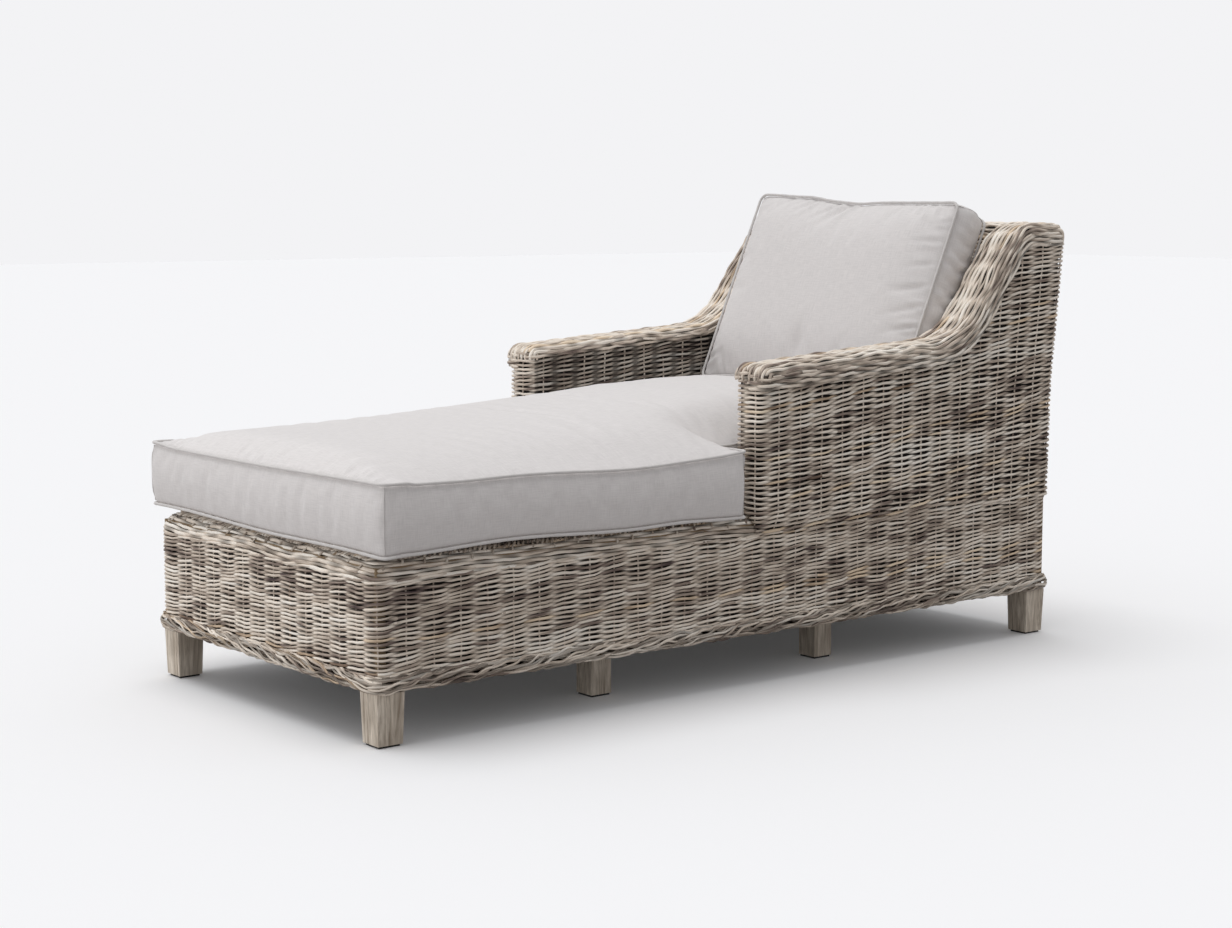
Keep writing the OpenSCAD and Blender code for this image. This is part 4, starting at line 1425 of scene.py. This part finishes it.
def finish_cushion(cushion, ob, body, covers, piping_node, out=0.0032):
    """Seams, puckers, piping and corner seams, after the swelling."""
    top_line = coordinates(ob.data)[cushion.rim[-1]]
    low_line = coordinates(ob.data)[cushion.rim[0]]
    corner_lines = [coordinates(ob.data)[cushion.rim[:, k]] for k in cushion.corners]
    middle = (top_line + low_line) / 2
    thickness = cushion.axes[1][2]
    outward = np.cross(np.roll(middle, -1, axis=0) - np.roll(middle, 1, axis=0), thickness)
    outward = unit(outward)
    refined(ob)
    points, normals = coordinates(ob.data), normals_of(ob.data)
    find = seam_finder([dense(top_line), dense(low_line)])
    distance, along = find(points)
    thick = np.abs(normals @ thickness)
    panel = ease((thick - 0.45) / 0.3)
    near = distance / 0.013
    edge = near * np.exp(1 - near) * (1 - np.exp(-distance / 0.004))
    puckers = ripple(along + 0.25 * distance, (0.015, 0.040), 5) * edge * 0.0026
    depth = np.linalg.norm(top_line - low_line, axis=1).mean()
    strip_env = np.clip(distance / (depth * 0.5), 0, 1) ** 0.7
    cross = ripple(along + cushion.slant * distance, cushion.cross_waves, 8) * strip_env
    bulge = cushion.bulge(points) * np.sin(np.pi / 2 * np.clip(distance / (depth * 0.5), 0, 1))
    move = puckers * panel + (cross * cushion.cross_size + bulge) * (1 - panel)
    move -= 0.0022 * np.exp(-(distance / 0.0045) ** 2)
    points = points + normals * move[:, None]
    points = cushion.shape(points, normals, panel)
    ob.data.vertices.foreach_set("co", points.astype(np.float32).ravel())
    ob.data.update()
    finish_piece(ob, body, "cover_fabric", *covers)
    cords = [softened(dense(line + (outward + way * thickness) * out * 0.7), 2)
             for line, way in ((top_line, 1), (low_line, -1))]
    piping = tubes(f"{cushion.name}_cord", cords, PIPING, [piping_mat])
    finish_piece(piping, body, "piping_fabric", piping_node)
    seams = []
    for k, line in zip(cushion.corners, corner_lines):
        s = np.linspace(0.03, 0.97, 14) * (len(line) - 1)
        at = np.stack([np.interp(s, np.arange(len(line)), line[:, i]) for i in range(3)], 1)
        swell = cushion.bulge(at) * np.sin(np.pi * np.linspace(0.03, 0.97, 14))
        seams.append(at + outward[k] * (0.0006 + 0.9 * swell[:, None]))
    seam_piece = tubes(f"{cushion.name}_corner_seams", seams, CORNER_SEAM, [piping_mat],
                       closed=False, sides=6)
    finish_piece(seam_piece, body, "cover_fabric")


# Seat cushion: wide in front of the arms, with an ear at each side, and narrow between them
SEAT_X = seat_box[1].x
SEAT_FOOT = seat_box[0].y
SEAT_HEAD = seat_box[1].y
SEAT_LOW = seat_box[0].z
SEAT_PEAK = seat_box[1].z
SEAT_EDGE = SEAT_LOW + 0.128
EAR_Y = -0.053
NARROW_X = BAND_IN - 0.010
PEAK_Y = EAR_Y + 0.120
FOOT_RISE = 0.035
FOOT_RUN = 0.085
SEAT_CROWN = SEAT_PEAK - SEAT_EDGE - 0.004


def seat_inside(x, y):
    return (np.abs(x) < SEAT_X) & ((y < EAR_Y) | (np.abs(x) < NARROW_X))


def seat_rim_low(x, y):
    """How far the lower seam rises off the deck along the rim."""
    side = np.clip((y - SEAT_FOOT) / (EAR_Y - SEAT_FOOT), 0, 1)
    front = (x + SEAT_X) / (2 * SEAT_X)
    lift = 0.010 * bell(side, 0.33, 0.22) + 0.004 * bell(side, 0.8, 0.1)
    lift += np.where(y < SEAT_FOOT + 0.05, 0.007 * (1 - front) + 0.002 * np.sin(9 * front), 0)
    return lift - 0.002 * bell(side, 0, 0.03)


def seat_rim_high(x, y):
    """How far the upper seam leaves its level line."""
    side = np.clip((y - SEAT_FOOT) / (EAR_Y - SEAT_FOOT), 0, 1)
    front = (x + SEAT_X) / (2 * SEAT_X)
    wave = -0.009 * bell(side, 0.66, 0.20) + 0.004 * bell(side, 1.0, 0.06) - 0.002 * bell(side, 0.2, 0.1)
    return wave + np.where(y < SEAT_FOOT + 0.05,
                           0.005 * bell(front, 0.02, 0.06) - 0.003 * np.sin(5 * front) * front, 0)


def seat_edge_share(x, y, reach):
    """1 on the rim, falling to 0 that far inside it."""
    half = np.where(y < EAR_Y, SEAT_X, NARROW_X)
    d = np.minimum(half - np.abs(x), np.minimum(y - SEAT_FOOT, SEAT_HEAD - y))
    return 1 - ease(d / reach)


def seat_low(x, y):
    """The lower panel: it bellies down just inside its seam."""
    return SEAT_LOW + (0.0045 + seat_rim_low(x, y) * seat_edge_share(x, y, 0.10)) - (
        0.0045 * (1 - seat_edge_share(x, y, 0.016)))


def seat_high(x, y):
    """The upper panel: a long rise from the foot, falling away to every seam."""
    across = 1 - np.clip(np.abs(x) / SEAT_X, 0, 1) ** 3.5
    along = np.clip((y - SEAT_FOOT) / (PEAK_Y - SEAT_FOOT), 0, 1)
    foot = 1 - (1 - np.clip((y - SEAT_FOOT) / FOOT_RUN, 0, 1)) ** 2.5
    height = FOOT_RISE * foot + (SEAT_CROWN - FOOT_RISE) * along - 0.010 * np.sin(np.pi * along)
    height += 0.006 * ease((y - PEAK_Y) / 0.2)
    height -= 0.026 * ease((y - 0.355) / 0.10) + 0.028 * ease((y - 0.44) / 0.085)
    ear = np.where(np.abs(x) > NARROW_X, EAR_Y - y, np.hypot(NARROW_X - np.abs(x), EAR_Y - y))
    ear = np.where(y > EAR_Y, NARROW_X - np.abs(x), ear)
    near_arm = 1 - (1 - np.clip(ear / 0.105, 0, 1)) ** 2.1
    pressed = 0.50 * ease((y - EAR_Y - 0.045) / 0.13) * (1 - ease((y - 0.36) / 0.10))
    near_arm = pressed + (1 - pressed) * near_arm
    return (SEAT_EDGE - PIPING + height * across * near_arm
            + seat_rim_high(x, y) * seat_edge_share(x, y, 0.12))


world_axes = (np.zeros(3), np.eye(3))
seat = Cushion("seat_cushion_fabric",
               lines_through([-SEAT_X, -NARROW_X, NARROW_X, SEAT_X]),
               lines_through([SEAT_FOOT, EAR_Y, SEAT_HEAD]),
               seat_inside, seat_low, seat_high, world_axes, 0.014)
seat.cross_waves, seat.cross_size, seat.slant = (0.026, 0.110), 0.0014, 0.10


def seat_shape(points, normals, panel):
    """Keeps the cushion clear of the arms and off the deck."""
    x, y = points[:, 0], points[:, 1]
    past_x, past_y = np.abs(x) - NARROW_X - 0.002, y - EAR_Y - 0.004
    corner = (past_x > 0) & (past_y > 0)
    back_in_x = np.clip(x, -NARROW_X - 0.002, NARROW_X + 0.002)
    back_in_y = np.where(corner & (past_y < past_x), EAR_Y + 0.004, y)
    points[:, 0] = np.where(corner & (past_x <= past_y), back_in_x, x)
    points[:, 1] = np.clip(back_in_y, None, SEAT_HEAD)
    points[:, 2] = np.maximum(points[:, 2], SEAT_LOW)
    return points


def seat_bulge(points):
    """How far the side strip stands out: not against the arms or the back."""
    return np.where(points[:, 1] < EAR_Y - 0.01, 0.0055, 0.0)


seat.shape = seat_shape
seat.bulge = seat_bulge
seat_ob = seat.build([fabric_mat])
rear_strip = np.flatnonzero(seat.points[:, 1] > SEAT_HEAD - 0.002)
held = np.unique(np.r_[np.arange(seat.count), seat.rim[-1], rear_strip])
inflate(seat_ob, seat.ends, held, 4.0, 0.014, 0.007)
finish_cushion(seat, seat_ob, "seat_cushion",
               ("seat_cushion_cover", "seat_cushion_foam"), "seat_cushion_piping")

# Back cushion: u across, v up its lean, w out of its front
BACK_W = back_cushion_box[1].x
BACK_H = 0.442
BACK_T = 0.100
BACK_ORIGIN = np.array([0, BACK_FOOT_Y - 0.075, DECK_Z + 0.209])
back_axes = (BACK_ORIGIN, np.array([[1, 0, 0], back_up, back_out]))


def pillow(u, v, power):
    s, t = np.abs(u) / BACK_W, np.abs(2 * v / BACK_H - 1)
    return (1 - np.clip(s, 0, 1) ** power) * (1 - np.clip(t, 0, 1) ** power)


def back_rise(u, v, w):
    """The upper left corner is plumped higher, and the lower front edge bows up."""
    s = (u + BACK_W) / (2 * BACK_W)
    top = 0.021 * (1 - ease(s / 0.52)) + 0.004 * bell(s, 0.28, 0.08) - 0.003 * bell(s, 0.54, 0.06)
    low = 0.017 * (1 - np.abs(2 * s - 1) ** 6)
    t = np.clip(v / BACK_H, 0, 1)
    return top * ease((t - 0.35) / 0.65) + low * (1 - ease(t / 0.4)) * ease(1 + w / 0.030)


def back_low(u, v):
    return -BACK_T - 0.040 * pillow(u, v, 2.6)


def back_high(u, v):
    s = (u + BACK_W) / (2 * BACK_W)
    dimple = 0.010 * bell(s, 0.50, 0.035) * bell(v, 0.075, 0.035)
    return -0.010 + 0.025 * pillow(u, v, 7.0) + 0.015 * pillow(u, v, 2.2) - dimple


back = Cushion("back_cushion_fabric", lines_through([-BACK_W, BACK_W]), lines_through([0, BACK_H]),
               lambda u, v: (np.abs(u) < BACK_W) & (v < BACK_H), back_low, back_high, back_axes, 0.016)
back.points[:, 1] += back_rise(*back.points.T)
back.cross_waves, back.cross_size, back.slant = (0.018, 0.050), 0.0034, 0.35


def crease(u, v, u0, v0, u1, v1, wide, size):
    """A fold that starts at one point and dies out at the other."""
    run = np.array([u1 - u0, v1 - v0])
    length = np.linalg.norm(run)
    a = ((u - u0) * run[0] + (v - v0) * run[1]) / length
    b = ((v - v0) * run[0] - (u - u0) * run[1]) / length
    fade = ease(a / (0.25 * length)) * (1 - ease(a / length))
    return size * fade * np.exp(-(b / (wide * (0.6 + 0.8 * np.clip(a / length, 0, 1)))) ** 2)


# Each fold: from and to, as shares of the half width and the height, its width and its depth
BACK_FOLDS = (
    (0.02, 1.02, -0.22, 0.82, 0.0060, -0.0055), (0.08, 1.01, -0.14, 0.80, 0.0050, 0.0035),
    (-0.10, 1.02, -0.34, 0.86, 0.0050, -0.0045), (-0.05, 1.02, -0.30, 0.82, 0.0045, 0.0030),
    (-0.36, 1.04, -0.56, 0.90, 0.0050, -0.0038), (-0.46, 1.04, -0.66, 0.93, 0.0045, -0.0030),
    (-0.28, 1.04, -0.50, 0.88, 0.0045, 0.0028), (-0.62, 1.04, -0.80, 0.94, 0.0050, -0.0025),
    (0.52, 1.00, 0.44, 0.84, 0.0050, -0.0028), (0.66, 1.00, 0.60, 0.88, 0.0045, -0.0018),
    (1.00, 0.80, 0.70, 0.76, 0.0050, -0.0026), (1.00, 0.68, 0.72, 0.62, 0.0050, -0.0026),
    (1.00, 0.56, 0.68, 0.49, 0.0055, -0.0030), (1.00, 0.45, 0.66, 0.36, 0.0055, -0.0030),
    (1.00, 0.35, 0.68, 0.26, 0.0050, -0.0028), (1.00, 0.24, 0.70, 0.16, 0.0050, -0.0030),
    (1.00, 0.14, 0.74, 0.09, 0.0045, -0.0024), (-1.00, 0.10, -0.80, 0.14, 0.0050, -0.0030),
    (-0.94, 0.02, -0.84, 0.12, 0.0050, -0.0030), (-0.86, 0.01, -0.80, 0.10, 0.0045, 0.0025),
)
FOLD_SHARE = 1.9
BACK_LIMIT = 0.1475  # the furthest the back panel may stand behind the front seam


def back_shape(points, normals, panel):
    """Lays the folds on the front and keeps the back panel off the weave."""
    local = (points - BACK_ORIGIN) @ back_axes[1].T
    u, v, w = local.T
    front = (w > -BACK_T / 2) * panel
    folds = np.zeros(len(u))
    for u0, v0, u1, v1, wide, size in BACK_FOLDS:
        folds += crease(u, v, u0 * BACK_W, v0 * BACK_H, u1 * BACK_W, v1 * BACK_H, wide, FOLD_SHARE * size)
    points = points + normals * (folds * front)[:, None]
    behind = np.minimum(0, (points - BACK_ORIGIN) @ back_out + BACK_LIMIT)
    return points - np.outer(behind, back_out)


def back_bulge(points):
    """How far the side strip stands out: least under the cushion, where its zip is."""
    v = (points - BACK_ORIGIN) @ back_up
    return 0.009 * ease(v / 0.10)


back.shape = back_shape
back.bulge = back_bulge
back_ob = back.build([fabric_mat])
low_strip = np.flatnonzero(back.points[:, 1] < 0.0105)
held = np.unique(np.r_[back.rim[0], back.rim[-1], low_strip])
inflate(back_ob, back.ends, held, 4.0, 0.015, 0.009)
finish_cushion(back, back_ob, "back_cushion",
               ("back_cushion_cover", "back_cushion_fill"), "back_cushion_piping")

# ---------------------------------------------------------------- CAD nodes that stay
TIMBER = ("corner_post", "back_post", "arm_post", "lower_rail", "cross_rail", "seat_rail", "seat_slats",
          "back_foot", "back_top_rail", "back_slats", "arm_rail")
NODE_LOOKS = (
    ("leg_bolts", steel_mat), ("leg_glides", glide_mat), ("leg_", leg_mat),
    *((prefix, timber_mat) for prefix in TIMBER),
    ("seat_cushion_zip", tape_mat), ("back_cushion_zip", tape_mat),
    ("seat_zip_slider", steel_mat), ("back_zip_slider", steel_mat),
)
LEG_EDGE = 0.0018
for name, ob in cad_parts.items():
    for prefix, mat in NODE_LOOKS:
        if name.startswith(prefix):
            ob.data.materials.clear()
            ob.data.materials.append(mat)
            break
    if name.startswith("leg_") and name not in ("leg_bolts", "leg_glides"):
        ob.modifiers.new("weld", "WELD")
        edge = ob.modifiers.new("edge", "BEVEL")
        edge.width = LEG_EDGE
        edge.segments = 2

# ---------------------------------------------------------------- camera, light and floor
CAMERA_AT = (3.62, -2.896, 0.948)
CAMERA_DOWN, CAMERA_TURN = math.radians(6.705), math.radians(51.664)
CAMERA_LENS = 64.55
SUN_FROM, SUN_STRENGTH, SUN_ANGLE = (-0.12, -0.09, 1.0), 1.34, math.radians(42)
LAMP_AT, LAMP_FROM = (-0.5, -3.1, 0.62), (-0.5, -2.3, 0.30)
LAMP_SIZE, LAMP_WATTS = (1.6, 0.8), 12.5


def placed(name, data):
    """A new object in the scene that carries the given data."""
    ob = bpy.data.objects.new(name, data)
    bpy.context.scene.collection.objects.link(ob)
    return ob


def facing(way):
    """The turn that points a light's Z axis back along way."""
    return Vector(way).to_track_quat("Z", "Y").to_euler()


camera = placed("camera", bpy.data.cameras.new("camera"))
camera.location = CAMERA_AT
camera.rotation_euler = (math.pi / 2 - CAMERA_DOWN, 0, CAMERA_TURN)
camera.data.sensor_width = 36
camera.data.lens = CAMERA_LENS
camera.data.clip_end = 100
bpy.context.scene.camera = camera

sun = placed("sun", bpy.data.lights.new("sun", "SUN"))
sun.data.energy = SUN_STRENGTH
sun.data.angle = SUN_ANGLE
sun.rotation_euler = facing(SUN_FROM)

lamp = placed("lamp", bpy.data.lights.new("lamp", "AREA"))
lamp.data.shape = "RECTANGLE"
lamp.data.size, lamp.data.size_y = LAMP_SIZE
lamp.data.energy = LAMP_WATTS
lamp.location = LAMP_AT
lamp.rotation_euler = facing(LAMP_FROM)
lamp.visible_camera = False

world = bpy.data.worlds.new("studio")
bpy.context.scene.world = world
world.use_nodes = True
tree = world.node_tree
tree.nodes.clear()
seen = node(tree, "ShaderNodeBackground", {"Color": (0.896, 0.896, 0.912, 1), "Strength": 1.0})
way = node(tree, "ShaderNodeSeparateXYZ", {0: node(tree, "ShaderNodeTexCoord").outputs["Generated"]})
dimmer = math_node(tree, "MULTIPLY", way.outputs[0], -0.15)
fill = node(tree, "ShaderNodeBackground", {
    "Color": (0.98, 0.985, 1.0, 1), "Strength": math_node(tree, "ADD", dimmer, 0.60)})
ray = node(tree, "ShaderNodeLightPath")
either = node(tree, "ShaderNodeMixShader", {
    0: ray.outputs["Is Camera Ray"], 1: fill.outputs[0], 2: seen.outputs[0]})
node(tree, "ShaderNodeOutputWorld", {0: either.outputs[0]})

FLOOR = 30.0
floor_mesh = bpy.data.meshes.new("floor")
floor_mesh.from_pydata(
    [(x * FLOOR, y * FLOOR, 0) for x, y in ((-1, -1), (1, -1), (1, 1), (-1, 1))], [], [(0, 1, 2, 3)])
floor = placed("floor", floor_mesh)
floor_mat, tree, shader = new_material(
    "floor", 0.9, Base_Color=(0.882, 0.882, 0.892, 1), Specular_IOR_Level=0.1,
    Emission_Color=(1, 1, 1, 1), Emission_Strength=0.034)
bounce = node(tree, "ShaderNodeBsdfDiffuse", {"Color": (0.43, 0.415, 0.41, 1)})
ray = node(tree, "ShaderNodeLightPath")
shown = node(tree, "ShaderNodeMixShader", {
    0: ray.outputs["Is Camera Ray"], 1: bounce.outputs[0], 2: shader.outputs[0]})
tree.links.new(shown.outputs[0], tree.nodes["Material Output"].inputs["Surface"])
floor_mesh.materials.append(floor_mat)

# the low lamp lights the lounger alone, so that no edge of its reach lies on the floor
unlit = bpy.data.collections.new("unlit")
unlit.objects.link(floor)
lamp.light_linking.receiver_collection = unlit
unlit.collection_objects[0].light_linking.link_state = "EXCLUDE"
bpy.context.scene.view_settings.view_transform = "Standard"
